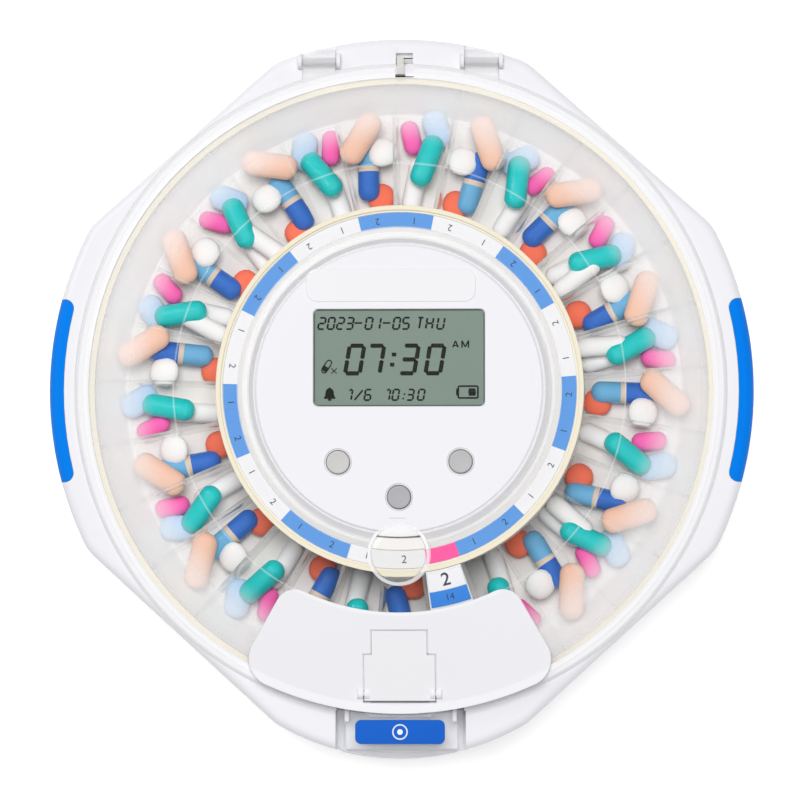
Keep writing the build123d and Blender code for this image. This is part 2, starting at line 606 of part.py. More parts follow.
def make_tray():
    """Trough in three rings: core with the ring gear and the label's flange, floor, sloping wall."""
    inner = INNER_R - INNER_T
    knee = RIM_Z - KNEE_DOWN
    rim = TRAY_R - TRAY_WALL
    top = TRAY_TOP + INNER_RISE
    flange = TRAY_TOP - FLANGE_DOWN
    bore = RING_ROOT_R + BORE_PLAY
    gear_top = TRAY_Z + GEAR_LIFT + RING_W
    recess = TRAY_TOP - RING_LABEL_T
    lip, nose = LABEL_R1 + GROOVE_LIP, HUB_R + FLANGE_PLAY
    groove0, groove1 = LABEL_R0 - GROOVE_PLAY, LABEL_R1 + GROOVE_PLAY
    core = spin([(bore, gear_top), (BAND_R, gear_top), (BAND_R, flange), (inner, flange), (inner, TRAY_Z),
                 (INNER_R, TRAY_Z), (INNER_R, top), (lip, top), (lip, TRAY_TOP),
                 (groove1, TRAY_TOP), (groove1, recess), (groove0, recess),
                 (groove0, TRAY_TOP), (nose, TRAY_TOP), (nose, flange), (bore, flange)])
    space = gear_points(RING_TEETH, RING_TIP_R - 0.2, RING_ROOT_R, BACKLASH / 2, 3)
    band = Circle(BAND_R) - Polygon(*space, align=None) - Circle(RING_TIP_R)
    core += Pos(0, 0, TRAY_Z + GEAR_LIFT) * extrude(band, RING_W, dir=(0, 0, 1))
    save("tray_core", core)
    save("tray_floor", tube(FLOOR_R, INNER_R, TRAY_Z, FLOOR_Z))
    wall = spin([(FLOOR_R, TRAY_Z), (FLOOR_R + 1.2, TRAY_Z), (TRAY_R, knee - 1), (TRAY_R, RIM_Z),
                 (rim, RIM_Z), (rim, knee), (FLOOR_R, FLOOR_Z)])
    save("tray_wall", wall)


def divider_points():
    gap = 0.05
    z_flat = LID_FLAT_Z - LID_T - 1.6
    low = LID_FLAT_Z - LID_DROP - FIN_GAP
    z_slope = low - (FIN_FLAT_R + 1 - LID_FLAT_R) * LID_SLOPE
    z_drop = low - (FIN_DROP_R - LID_FLAT_R) * LID_SLOPE
    knee = RIM_Z - KNEE_DOWN
    rim = outer_wall_r(knee)
    return [(INNER_R + gap, FLOOR_Z), (INNER_R + gap, z_flat), (FIN_FLAT_R, z_flat),
            (FIN_FLAT_R + 1, min(z_slope, z_flat)), (FIN_DROP_R, z_drop), (rim - gap, RIM_Z + 0.3),
            (rim - gap, knee), (FLOOR_R - gap, FLOOR_Z)]


def make_dividers():
    """One clear fin on each side of every pocket."""
    fin = extrude(Plane.XZ * Polygon(*divider_points(), align=None), FIN_T / 2, both=True)
    fins = [Rot(0, 0, -90 + HOME_ANGLE + PITCH * k) * fin for k in range(POCKETS)]
    save("tray_dividers", Compound(fins))


def make_label_ring():
    save("label_ring", tube(LABEL_R1, LABEL_R0, TRAY_TOP - RING_LABEL_T, TRAY_TOP))


def make_home_insert():
    """Card holder that closes the inner end of the home pocket."""
    top = LID_FLAT_Z - LID_T - 1.6
    holder = spin([(INNER_R + 0.1, FLOOR_Z), (INNER_R + 1.3, FLOOR_Z), (INNER_R + 1.3, top - INSERT_T),
                   (INSERT_R, top - INSERT_T - 1.4), (INSERT_R, top - 1.4), (FIN_FLAT_R, top),
                   (INNER_R + 0.1, top)])
    reach = 2 * INSERT_R
    side = FIN_T / 2 + 0.1
    wedge = Rot(0, 0, HOME_ANGLE - 90) * block(0, reach, side, reach, 0, reach)
    wedge &= Rot(0, 0, HOME_ANGLE + PITCH - 90) * block(0, reach, -reach, -side, 0, reach)
    save("home_insert", holder & wedge)


# ---------------------------------------------------------------- lid
def lid_profile():
    under = LID_FLAT_Z - LID_T
    inner = HUB_R + 1.2
    slope_in = LID_R - 2.3
    return [(0, CROWN_Z - LID_T), (inner, CROWN_Z - LID_T), (inner + 1.0, under), (LID_FLAT_R - 0.3, under),
            (slope_in - 1.0, slope_z(slope_in - 1.0) - LID_DROP), (slope_in, LID_RIM_Z), (LID_R, LID_RIM_Z),
            (LID_R, LID_SLOPE_Z - 1.0), (LID_R - 1.0, LID_SLOPE_Z), (LID_SLOPE_R, LID_SLOPE_Z),
            (LID_FLAT_R, LID_FLAT_Z), (STEP_R, LID_FLAT_Z), (CROWN_R, CROWN_Z - 1.2), (CROWN_R - 1.2, CROWN_Z),
            (0, CROWN_Z)]


def lid_knuckles():
    """Two hinge knuckles and the arms that join them to the rim."""
    x0, x1 = KNUCKLE_X - KNUCKLE_W / 2, KNUCKLE_X + KNUCKLE_W / 2
    knuckle = rod_x(KNUCKLE_R, x0, x1, HINGE_Y, HINGE_Z)
    knuckle += block(x0, x1, WELL_R - 3, HINGE_Y, LID_RIM_Z, HINGE_Z + KNUCKLE_R - 0.3)
    return mirrored(knuckle)


def make_lid():
    lid = spin(lid_profile())
    collar = rod(LENS_R + COLLAR_T, LID_FLAT_Z - LID_T, CROWN_Z + 0.3, 0, -LENS_Y)
    collar -= rod(HUB_R + 1.2, 0, CROWN_Z - LID_T)
    lid += collar
    lid -= rod(LENS_R + LENS_GAP, CROWN_Z - LID_T, LENS_TOP + 1, 0, -LENS_Y)
    lid -= rod(LENS_R - 0.6, 0, LENS_TOP, 0, -LENS_Y)
    half = LUG_X + LUG_T + PANEL_EAR_T + 1.0
    lid -= block(-half, half, -LID_R - 5, -HATCH_R0 - 0.2, 0, 2 * LID_FLAT_Z)
    lid -= block(-PAD_HALF - 0.4, PAD_HALF + 0.4, -LID_R - 5, -NECK_Y + 0.5, 0, 2 * LID_FLAT_Z)
    lid += lid_knuckles()
    lid -= mirrored(rod_x(HINGE_PIN_R + SHAFT_GAP, 0, 2 * KNUCKLE_X, HINGE_Y, HINGE_Z))
    side = HOOK_W / 2 + 0.5
    lid -= block(-side, side, NOSE_Y - 1.2, LID_R + 5, 0, LENS_TOP)
    lid -= block(-side, side + HOOK_TRAVEL + 0.4, NOSE_Y - 1.2, LID_R + 5, LID_RIM_Z + LIP_T, LENS_TOP)
    lid -= block(-side, side + HOOK_TRAVEL + 0.4, LIP_Y, LID_R + 5, 0, LENS_TOP)
    save("lid_shell", lid)


def make_lens():
    """Plano-convex magnifier over the front label."""
    base_z = CROWN_Z - LID_T
    ball = (LENS_R ** 2 + LENS_RISE ** 2) / (2 * LENS_RISE)
    lens = rod(LENS_R, base_z, LENS_TOP, 0, -LENS_Y)
    lens &= Pos(0, -LENS_Y, LENS_TOP - ball) * Sphere(ball)
    save("magnifier_lens", lens)


# ---------------------------------------------------------------- front panel, flap and pad
def slope_plane():
    """Plane on the lid's slope at the front; its +Y climbs towards the centre."""
    s = LID_SLOPE * SLOPE_COS
    return Plane(origin=(0, -LID_FLAT_R, LID_FLAT_Z), x_dir=(1, 0, 0), z_dir=(0, -s, SLOPE_COS))


def along(r):
    """Distance down the slope from its upper edge to radius r."""
    return (r - LID_FLAT_R) / SLOPE_COS


def slope_block(x, r0, r1, w0, w1):
    """Block on the slope: half width x, radii r0 to r1, heights w0 to w1 above it."""
    y0, y1 = -along(r1), -along(r0)
    return slope_plane().location * block(-x, x, y0, y1, w0, w1)


def panel_sector():
    plan = Circle(PANEL_R1) - Circle(PANEL_R0)
    cut = 2 * PANEL_R1
    for side in (-1, 1):
        plan -= Rot(0, 0, side * PANEL_HALF) * Pos(side * cut / 2, 0) * Rectangle(cut, 2 * cut)
    plan = plan & Pos(0, -cut / 2) * Rectangle(2 * cut, cut)
    inner = [v for v in plan.vertices() if hypot(v.X, v.Y) < (PANEL_R0 + PANEL_R1) / 2]
    plan = fillet(inner, PANEL_CORNERS[0])
    outer = [v for v in plan.vertices() if hypot(v.X, v.Y) > PANEL_R1 - 1]
    return fillet(outer, PANEL_CORNERS[1])


def make_panel():
    """White cover on the lid's slope, with the hatch, the flap's bearings and the pad's bracket."""
    gap = 0.05
    rise = PANEL_T / SLOPE_COS
    r0, r1 = PANEL_R0 - 1, PANEL_R1 + 1
    panel = spin([(r0, LID_FLAT_Z + gap), (LID_FLAT_R, LID_FLAT_Z + gap), (LID_SLOPE_R, LID_SLOPE_Z + gap),
                  (r1, LID_SLOPE_Z + gap), (r1, LID_SLOPE_Z + PANEL_T), (LID_SLOPE_R, LID_SLOPE_Z + rise),
                  (LID_FLAT_R, LID_FLAT_Z + rise), (r0, LID_FLAT_Z + rise)])
    panel &= Pos(0, 0, PAD_BOTTOM) * extrude(panel_sector(), 2 * PAD_BOTTOM)
    panel -= slope_block(HATCH_W0 / 2, HATCH_R0, HATCH_STEP_R + 1, -5, 5)
    panel -= slope_block(HATCH_W1 / 2, HATCH_STEP_R, HATCH_R1, -5, 5)
    for side in (-1, 1):
        x0, x1 = sorted((side * (HATCH_W1 / 2), side * (HATCH_W1 / 2 + PANEL_EAR_T)))
        ear = rod_x(LUG_R, x0, x1, -FLAP_AXIS_R, FLAP_AXIS_Z)
        panel += ear
    panel -= rod_x(FLAP_PIN_R, -HATCH_W1 / 2 - PANEL_EAR_T + 0.5, HATCH_W1 / 2 + PANEL_EAR_T - 0.5,
                   -FLAP_AXIS_R, FLAP_AXIS_Z)
    arm_room = slope_block(ARM_X + ARM_W / 2 + 0.6, HATCH_R1 - 1, PANEL_R1 + 2, -3, 1.1)
    panel -= arm_room
    top = LID_SLOPE_Z + 1.0
    low = PAD_TOP - PAD_WALL - PRESS_TRAVEL - FIT
    for side in (-1, 1):
        x0, x1 = sorted((side * BRACKET_HALF, side * (BRACKET_HALF - BRACKET_T)))
        wall = side_plate([(-NECK_Y, SHELF_Z), (-NECK_Y, top), (-NECK_Y - NECK_T, top), (-NECK_Y - NECK_T, low),
                           (-NECK_Y - 3 * NECK_T, low), (-NECK_Y - 3 * NECK_T, SHELF_Z)], x0, x1)
        panel += wall
        panel += rod(POST_R, SHELF_Z, POST_TOP, side * POST_X, -POST_Y)
    shelf = block(-BRACKET_HALF, BRACKET_HALF, -SHELF_Y, -WELL_R - 1.0, SHELF_Z, SHELF_Z + SHELF_T)
    panel += shelf
    save("front_panel", panel)


def make_flap():
    """Dispensing flap: a plate between two lugs, with a crank that the press pad pushes down."""
    low, high = 0.3, 0.3 + FLAP_T
    plate = slope_block(HATCH_W0 / 2 - FLAP_GAP, HATCH_R0 + FLAP_GAP, HATCH_STEP_R + 2, low, high)
    plate += slope_block(HATCH_W1 / 2 - FLAP_GAP, HATCH_STEP_R + FLAP_GAP, FLAP_AXIS_R + LUG_R, low, high)
    y, z = -FLAP_AXIS_R, FLAP_AXIS_Z
    for side in (-1, 1):
        x0, x1 = sorted((side * LUG_X, side * (LUG_X + LUG_T)))
        lug = rod_x(LUG_R, x0, x1, y, z)
        lug += side_plate([(y + 0.9, z), (y - 1.0, z), (y - 1.0, z - 3.3), (y - CRANK_OUT, z - CRANK_DOWN + 0.8),
                           (y - CRANK_OUT, z - CRANK_DOWN - 0.8), (y + 0.4, z - 4.6)], x0, x1)
        plate += lug
    plate += rod_x(CRANK_R, -LUG_X, LUG_X, y - CRANK_OUT, z - CRANK_DOWN)
    plate -= rod_x(FLAP_PIN_R + SHAFT_GAP, -HATCH_W1, HATCH_W1, y, z)
    save("dispensing_flap", plate)


def make_flap_pin():
    reach = HATCH_W1 / 2 + PANEL_EAR_T - 0.5
    save("flap_pin", rod_x(FLAP_PIN_R, -reach, reach, -FLAP_AXIS_R, FLAP_AXIS_Z))


def make_pad():
    """Clear press pad: a hollow cap on two guide posts, with two arms over the flap's crank."""
    front = FRONT_LOBE_R - 0.1
    outer = block(-PAD_HALF, PAD_HALF, -2 * LOBE_R, -PANEL_R1 + 6, PAD_BOTTOM, PAD_TOP)
    outer &= rod(front, 0, 2 * PAD_TOP, 0, -FRONT_LOBE_Y)
    outer -= rod(PANEL_R1 + 0.4, 0, 2 * PAD_TOP)
    corners = [e for e in outer.edges().filter_by(Axis.Z) if e.center().Y < -FRONT_LOBE_Y - 0.9 * front]
    outer = fillet(corners, PAD_CORNER)
    outer = chamfer(outer.faces().sort_by(Axis.Z)[-1].edges(), 0.6)
    inner = block(-PAD_HALF + PAD_WALL, PAD_HALF - PAD_WALL, -2 * LOBE_R, 0, 0, PAD_TOP - PAD_WALL)
    inner &= rod(front - PAD_WALL, 0, 2 * PAD_TOP, 0, -FRONT_LOBE_Y)
    pad = outer - inner
    y, z = -FLAP_AXIS_R - CRANK_OUT, FLAP_AXIS_Z - CRANK_DOWN + CRANK_R + 0.12
    for side in (-1, 1):
        x = side * ARM_X
        pad += side_plate([(y - 1.6, z), (y + 3.8, z), (y + 3.8, z + 1.5), (y, z + 0.9), (y - 0.6, z + 0.9),
                           (y - 1.6, PAD_TOP - 1)], x - ARM_W / 2, x + ARM_W / 2)
        pad += rod(SLEEVE_R, SLEEVE_Z, PAD_TOP - 1, side * POST_X, -POST_Y)
        pad -= rod(POST_R + SHAFT_GAP, 0, PAD_TOP - PAD_WALL / 2 - 0.1, side * POST_X, -POST_Y)
    pad -= Pos(0, -LABEL_Y, PAD_TOP - LABEL_SINK) * extrude(RectangleRounded(LABEL_W, LABEL_D, 1.5), 2)
    save("press_pad", pad)
    label = RectangleRounded(LABEL_W - 0.1, LABEL_D - 0.1, 1.5)
    save("press_label", Pos(0, -LABEL_Y, PAD_TOP - LABEL_SINK) * extrude(label, LABEL_SINK))


def make_press_springs():
    low = SHELF_Z + SHELF_T
    springs = [tube_at(x, -POST_Y, SLEEVE_R - 0.1, POST_R + 0.3, low, SLEEVE_Z - 0.1)
               for x in (-POST_X, POST_X)]
    save("press_springs", Compound(springs))


# ---------------------------------------------------------------- key lock
def make_lock():
    """Key cylinder whose eccentric pin slides the hook sideways over the lid's lip."""
    face = LOBE_R - 0.1
    body = rod_y(LOCK_R, LOCK_Y0 + 0.15, face, 0, LOCK_Z)
    start = radians(-45)
    pin_x, pin_z = LOCK_CRANK * sin(start), LOCK_Z + LOCK_CRANK * cos(start)
    body += rod_y(LOCK_PIN_R, HOOK_Y - 0.1, LOCK_Y0 + 1, pin_x, pin_z)
    body -= block(-0.6, 0.6, face - 5, face + 1, LOCK_Z - 2.6, LOCK_Z + 2.6)
    save("lock_cylinder", body)
    collar = rod_y(LOCK_R + COLLAR_OUT, LOBE_R - COLLAR_DEPTH, face, 0, LOCK_Z)
    collar -= rod_y(LOCK_R + SHAFT_GAP, 0, 2 * LOBE_R, 0, LOCK_Z)
    save("lock_collar", collar)


def make_hook():
    wide = 4.0
    hook = block(-wide, wide, HOOK_Y, HOOK_Y + HOOK_T, LOCK_Z - LOCK_R + FIT, STEM_Z)
    hook += block(-HOOK_W / 2, HOOK_W / 2, HOOK_Y, HOOK_Y + HOOK_T, STEM_Z - 0.7, NOSE_Z + NOSE_T)
    hook += block(-HOOK_W / 2, HOOK_W / 2, NOSE_Y, HOOK_Y + HOOK_T, NOSE_Z, NOSE_Z + NOSE_T)
    slot_x = -LOCK_CRANK * sin(radians(45))
    slot_half = LOCK_PIN_R + 0.25
    hook -= block(slot_x - slot_half, slot_x + slot_half, HOOK_Y - 1, HOOK_Y + 3, LOCK_Z - 0.4, LOCK_Z + 3.1)
    save("lock_hook", hook)


body = outer_body()
make_base(body)
make_grips(body)
make_hinge_pins()
make_feet()
make_cover()
make_cover_screws()
make_battery_door()
make_batteries()
make_contacts()
make_hub()
make_dial()
make_lcd()
make_buttons()
make_board()
make_drive()
make_tray()
make_dividers()
make_label_ring()
make_home_insert()
make_lid()
make_lens()
make_panel()
make_flap()
make_flap_pin()
make_pad()
make_press_springs()
make_lock()
make_hook()
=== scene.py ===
from math import atan2, cos, pi, radians, sin, tau
from random import Random

import bpy
from mathutils import Matrix, Vector


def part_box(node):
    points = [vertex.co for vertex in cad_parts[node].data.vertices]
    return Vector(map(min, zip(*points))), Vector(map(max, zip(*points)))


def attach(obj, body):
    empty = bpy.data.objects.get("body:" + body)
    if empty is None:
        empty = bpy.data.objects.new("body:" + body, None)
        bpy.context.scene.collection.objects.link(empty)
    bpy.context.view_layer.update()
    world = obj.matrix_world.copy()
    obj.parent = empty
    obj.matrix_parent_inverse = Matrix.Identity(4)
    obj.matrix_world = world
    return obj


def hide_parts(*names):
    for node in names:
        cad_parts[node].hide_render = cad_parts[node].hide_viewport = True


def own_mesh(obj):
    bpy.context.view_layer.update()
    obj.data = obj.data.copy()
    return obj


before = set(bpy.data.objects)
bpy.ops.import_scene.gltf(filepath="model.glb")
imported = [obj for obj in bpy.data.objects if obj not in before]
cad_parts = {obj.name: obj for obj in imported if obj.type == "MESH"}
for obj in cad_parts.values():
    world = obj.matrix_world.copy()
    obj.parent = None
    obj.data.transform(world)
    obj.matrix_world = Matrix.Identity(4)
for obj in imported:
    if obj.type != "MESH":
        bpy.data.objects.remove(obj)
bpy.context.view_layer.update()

bpy.ops.object.select_all(action="DESELECT")

# ---------------------------------------------------------------- base shell
# The base is one large injection moulding in gloss white ABS: round lobes with four flats and a
# deep well for the tray. It is moulded in one shot, and everything else is fixed to it.


def srgb(red, green, blue):
    """A colour given in 0 to 255 as the shader's linear colour."""
    channels = [c / 255 for c in (red, green, blue)]
    return [c / 12.92 if c <= 0.04045 else ((c + 0.055) / 1.055) ** 2.4 for c in channels] + [1]


def new_group(name, inputs, outputs):
    """An empty shader group with number inputs, and outputs of the named socket types."""
    group = bpy.data.node_groups.new(name, "ShaderNodeTree")
    for label, value in inputs.items():
        socket = group.interface.new_socket(label, in_out="INPUT", socket_type="NodeSocketFloat")
        socket.default_value = value
    for label, kind in outputs.items():
        group.interface.new_socket(label, in_out="OUTPUT", socket_type="NodeSocket" + kind)
    return group, group.nodes.new("NodeGroupInput"), group.nodes.new("NodeGroupOutput")


def math_node(tree, operation, first, second=None, third=None):
    """A Math node on numbers or sockets; returns its output."""
    node = tree.nodes.new("ShaderNodeMath")
    node.operation = operation
    for socket, value in zip(node.inputs, (first, second, third)):
        if isinstance(value, (int, float)):
            socket.default_value = value
        elif value is not None:
            tree.links.new(value, socket)
    return node.outputs[0]


def mix_colour(tree, factor, first, second):
    """A colour between two colours or sockets; returns the mixed socket."""
    node = tree.nodes.new("ShaderNodeMix")
    node.data_type = "RGBA"
    tree.links.new(factor, node.inputs["Factor"])
    for socket, value in ((node.inputs[6], first), (node.inputs[7], second)):
        if isinstance(value, list):
            socket.default_value = value
        else:
            tree.links.new(value, socket)
    return node.outputs[2]


def new_material(name):
    """A new material, with its node tree and its Principled shader."""
    mat = bpy.data.materials.new(name)
    mat.use_nodes = True
    return mat, mat.node_tree, mat.node_tree.nodes["Principled BSDF"]


def speckle(tree, scale):
    """Noise of a scale on the object's own coordinates; returns its value."""
    place = tree.nodes.new("ShaderNodeTexCoord")
    spots = tree.nodes.new("ShaderNodeTexNoise")
    spots.inputs["Scale"].default_value = scale
    tree.links.new(place.outputs["Object"], spots.inputs["Vector"])
    return spots.outputs[0]


# Grain of the mould, rounded edges with their wear, and a slow drift in tone.
moulding, entry, exit_ = new_group(
    "moulded_surface",
    {"Grain Scale": 1800, "Grain Depth": 0.000004, "Edge Radius": 0.0004},
    {"Normal": "Vector", "Edge": "Float", "Cloud": "Float"},
)
place = moulding.nodes.new("ShaderNodeTexCoord")
grain = moulding.nodes.new("ShaderNodeTexNoise")
grain.inputs["Detail"].default_value = 3
moulding.links.new(place.outputs["Object"], grain.inputs["Vector"])
moulding.links.new(entry.outputs["Grain Scale"], grain.inputs["Scale"])
rounded = moulding.nodes.new("ShaderNodeBevel")
rounded.samples = 4
moulding.links.new(entry.outputs["Edge Radius"], rounded.inputs["Radius"])
bump = moulding.nodes.new("ShaderNodeBump")
moulding.links.new(grain.outputs[0], bump.inputs["Height"])
moulding.links.new(entry.outputs["Grain Depth"], bump.inputs["Distance"])
moulding.links.new(rounded.outputs[0], bump.inputs["Normal"])
moulding.links.new(bump.outputs[0], exit_.inputs["Normal"])
surface = moulding.nodes.new("ShaderNodeNewGeometry")
facing = moulding.nodes.new("ShaderNodeVectorMath")
facing.operation = "DOT_PRODUCT"
moulding.links.new(surface.outputs["Normal"], facing.inputs[0])
moulding.links.new(rounded.outputs[0], facing.inputs[1])
turned = math_node(moulding, "SUBTRACT", 1.0, facing.outputs["Value"])
moulding.links.new(math_node(moulding, "MULTIPLY", turned, 4.0), exit_.inputs["Edge"])
moulding.links.new(speckle(moulding, 14), exit_.inputs["Cloud"])


def moulded(name, colour, shade, roughness, grain=1800, depth=0.000004, edge=0.0004, gleam=0.5):
    """Moulded plastic: two near tones in slow clouds, worn a little on its edges."""
    mat, tree, skin = new_material(name)
    skin.inputs["Specular IOR Level"].default_value = gleam
    mould = tree.nodes.new("ShaderNodeGroup")
    mould.node_tree = moulding
    mould.inputs["Grain Scale"].default_value = grain
    mould.inputs["Grain Depth"].default_value = depth
    mould.inputs["Edge Radius"].default_value = edge
    tone = mix_colour(tree, mould.outputs["Cloud"], srgb(*colour), srgb(*shade))
    worn = math_node(tree, "MULTIPLY", mould.outputs["Edge"], 0.35)
    lighter = [c + (255 - c) * 0.3 for c in colour]
    tree.links.new(mix_colour(tree, worn, tone, srgb(*lighter)), skin.inputs["Base Color"])
    rough = math_node(tree, "MULTIPLY_ADD", mould.outputs["Cloud"], 0.12, roughness - 0.06)
    tree.links.new(rough, skin.inputs["Roughness"])
    tree.links.new(mould.outputs["Normal"], skin.inputs["Normal"])
    return mat


def dress(mat, *nodes):
    """Gives CAD nodes their material."""
    for node in nodes:
        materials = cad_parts[node].data.materials
        materials.clear()
        materials.append(mat)


gloss_white = moulded("gloss_white", (243, 243, 247), (238, 238, 243), 0.24)
dress(gloss_white, "base_shell")

# ---------------------------------------------------------------- grips
# Two soft-touch grips in bright blue, overmoulded into recesses on the side lobes.

grip_blue = moulded("grip_blue", (0, 132, 242), (0, 122, 232), 0.5, 2600, 0.000012, gleam=0.15)
dress(grip_blue, "grip_left", "grip_right")

# ---------------------------------------------------------------- underside
# The bottom cover and the battery door are spark-textured white mouldings. Six zinc screws hold the
# cover, and four rubber feet are glued to it.

textured_white = moulded("textured_white", (236, 236, 240), (230, 230, 235), 0.55, 1200, 0.00002)
dress(textured_white, "bottom_cover", "battery_door")
foot_rubber = moulded("foot_rubber", (52, 52, 54), (44, 44, 46), 0.8, 2200, 0.00003)
dress(foot_rubber, "rubber_feet")


def brushed(name, colour, roughness, length):
    """Turned or drawn metal: fine streaks along X and dull patches."""
    mat, tree, skin = new_material(name)
    skin.inputs["Metallic"].default_value = 1
    place = tree.nodes.new("ShaderNodeTexCoord")
    stretch = tree.nodes.new("ShaderNodeMapping")
    stretch.inputs["Scale"].default_value = (length, 6000, 6000)
    streak = tree.nodes.new("ShaderNodeTexNoise")
    streak.inputs["Scale"].default_value = 1
    streak.inputs["Detail"].default_value = 4
    tree.links.new(place.outputs["Object"], stretch.inputs["Vector"])
    tree.links.new(stretch.outputs[0], streak.inputs["Vector"])
    dull = [c * 0.82 for c in colour]
    tree.links.new(mix_colour(tree, streak.outputs[0], srgb(*dull), srgb(*colour)), skin.inputs["Base Color"])
    rough = math_node(tree, "MULTIPLY_ADD", streak.outputs[0], 0.2, roughness)
    tree.links.new(rough, skin.inputs["Roughness"])
    bump = tree.nodes.new("ShaderNodeBump")
    bump.inputs["Distance"].default_value = 0.000008
    tree.links.new(streak.outputs[0], bump.inputs["Height"])
    tree.links.new(bump.outputs[0], skin.inputs["Normal"])
    return mat


zinc = brushed("zinc_plate", (214, 214, 218), 0.22, 500)
dress(zinc, "cover_screws", "motor_screws", "hinge_pins", "motor_shaft", "battery_contacts")

# ---------------------------------------------------------------- batteries
# Four AA cells in a printed sleeve: dark body with a metal-coloured band at the positive end.

BAND_Y = 0.016       # the metal-coloured end starts here


def object_axes(tree):
    """The object's own coordinates on a Separate XYZ node."""
    place = tree.nodes.new("ShaderNodeTexCoord")
    axes = tree.nodes.new("ShaderNodeSeparateXYZ")
    tree.links.new(place.outputs["Object"], axes.inputs[0])
    return axes


sleeve, tree, skin = new_material("cell_sleeve")
skin.inputs["Metallic"].default_value = 0.6
band = math_node(tree, "GREATER_THAN", object_axes(tree).outputs["Y"], BAND_Y)
tree.links.new(mix_colour(tree, band, srgb(38, 39, 44), srgb(196, 148, 84)), skin.inputs["Base Color"])
tree.links.new(math_node(tree, "MULTIPLY_ADD", speckle(tree, 160), 0.2, 0.22), skin.inputs["Roughness"])
dress(sleeve, "batteries")

# ---------------------------------------------------------------- hub, board and drive
# The hub column is moulded in white ABS and screwed to the base. Inside it are the geared motor, a
# green circuit board with its switches and a buzzer, and a nylon pinion on the motor's shaft.

dress(gloss_white, "hub_column")
dress(moulded("solder_mask", (26, 92, 52), (20, 80, 46), 0.35, 900, 0.000006), "main_board")
black_plastic = moulded("black_plastic", (34, 34, 36), (28, 28, 30), 0.5)
dress(black_plastic, "tact_switches", "buzzer")
dress(brushed("motor_can", (176, 177, 182), 0.3, 300), "drive_motor")
dress(moulded("natural_nylon", (226, 224, 214), (218, 215, 204), 0.42), "drive_gear")

# ---------------------------------------------------------------- tray
# The dose tray is moulded in translucent cream polypropylene: core with the ring gear, flat floor
# and sloping outer wall. Twenty-nine clear dividers stand in it.

MM = 0.001
ring_low, ring_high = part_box("label_ring")
# the tray's axis, at table height
AXIS = Vector(((ring_low.x + ring_high.x) / 2, (ring_low.y + ring_high.y) / 2, 0))
POCKETS = 29
PITCH = tau / POCKETS
FIRST_DIVIDER = radians(7.45)   # from the front, anticlockwise
RIM_FROM_R = 0.0573             # the cream rims lie outside this radius, and in the top RIM_DEPTH
RIM_DEPTH = 0.0004


def at_angle(angle, radius, height):
    """Place on the tray at an angle from the front, with +Y of the piece towards the axis."""
    return (Matrix.Translation(AXIS) @ Matrix.Rotation(angle, 4, "Z")
            @ Matrix.Translation((0, -radius, height)))


def from_axis(tree, axes, forward=0.0):
    """Distance from the tray's axis, or from a point in front of it, on a Separate XYZ node."""
    ahead = math_node(tree, "SUBTRACT", axes.outputs["Y"], AXIS.y - forward)
    across = math_node(tree, "MULTIPLY", axes.outputs["X"], axes.outputs["X"])
    return math_node(tree, "SQRT", math_node(tree, "MULTIPLY_ADD", ahead, ahead, across))


tray_frost = moulded("tray_frost", (240, 237, 234), (236, 233, 230), 0.4, gleam=0.2)
dress(tray_frost, "tray_floor")
tray_cream = moulded("tray_cream", (253, 250, 246), (250, 247, 243), 0.35, gleam=0.3)
tree = tray_cream.node_tree
skin = tree.nodes["Principled BSDF"]
axes = object_axes(tree)
on_top = math_node(tree, "GREATER_THAN", axes.outputs["Z"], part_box("tray_wall")[1].z - RIM_DEPTH)
outside = math_node(tree, "GREATER_THAN", from_axis(tree, axes), RIM_FROM_R)
on_rim = math_node(tree, "MULTIPLY", on_top, outside)
plain = skin.inputs["Base Color"].links[0].from_socket
tree.links.new(mix_colour(tree, on_rim, plain, srgb(243, 235, 212)), skin.inputs["Base Color"])
dress(tray_cream, "tray_core", "tray_wall")


def soft_step(tree, value, edge, softness):
    """0 below the edge and 1 above it, smooth over the softness on each side."""
    ramp = tree.nodes.new("ShaderNodeMapRange")
    ramp.interpolation_type = "SMOOTHSTEP"
    ramp.inputs["From Min"].default_value = edge - softness
    ramp.inputs["From Max"].default_value = edge + softness
    tree.links.new(value, ramp.inputs["Value"])
    return ramp.outputs[0]


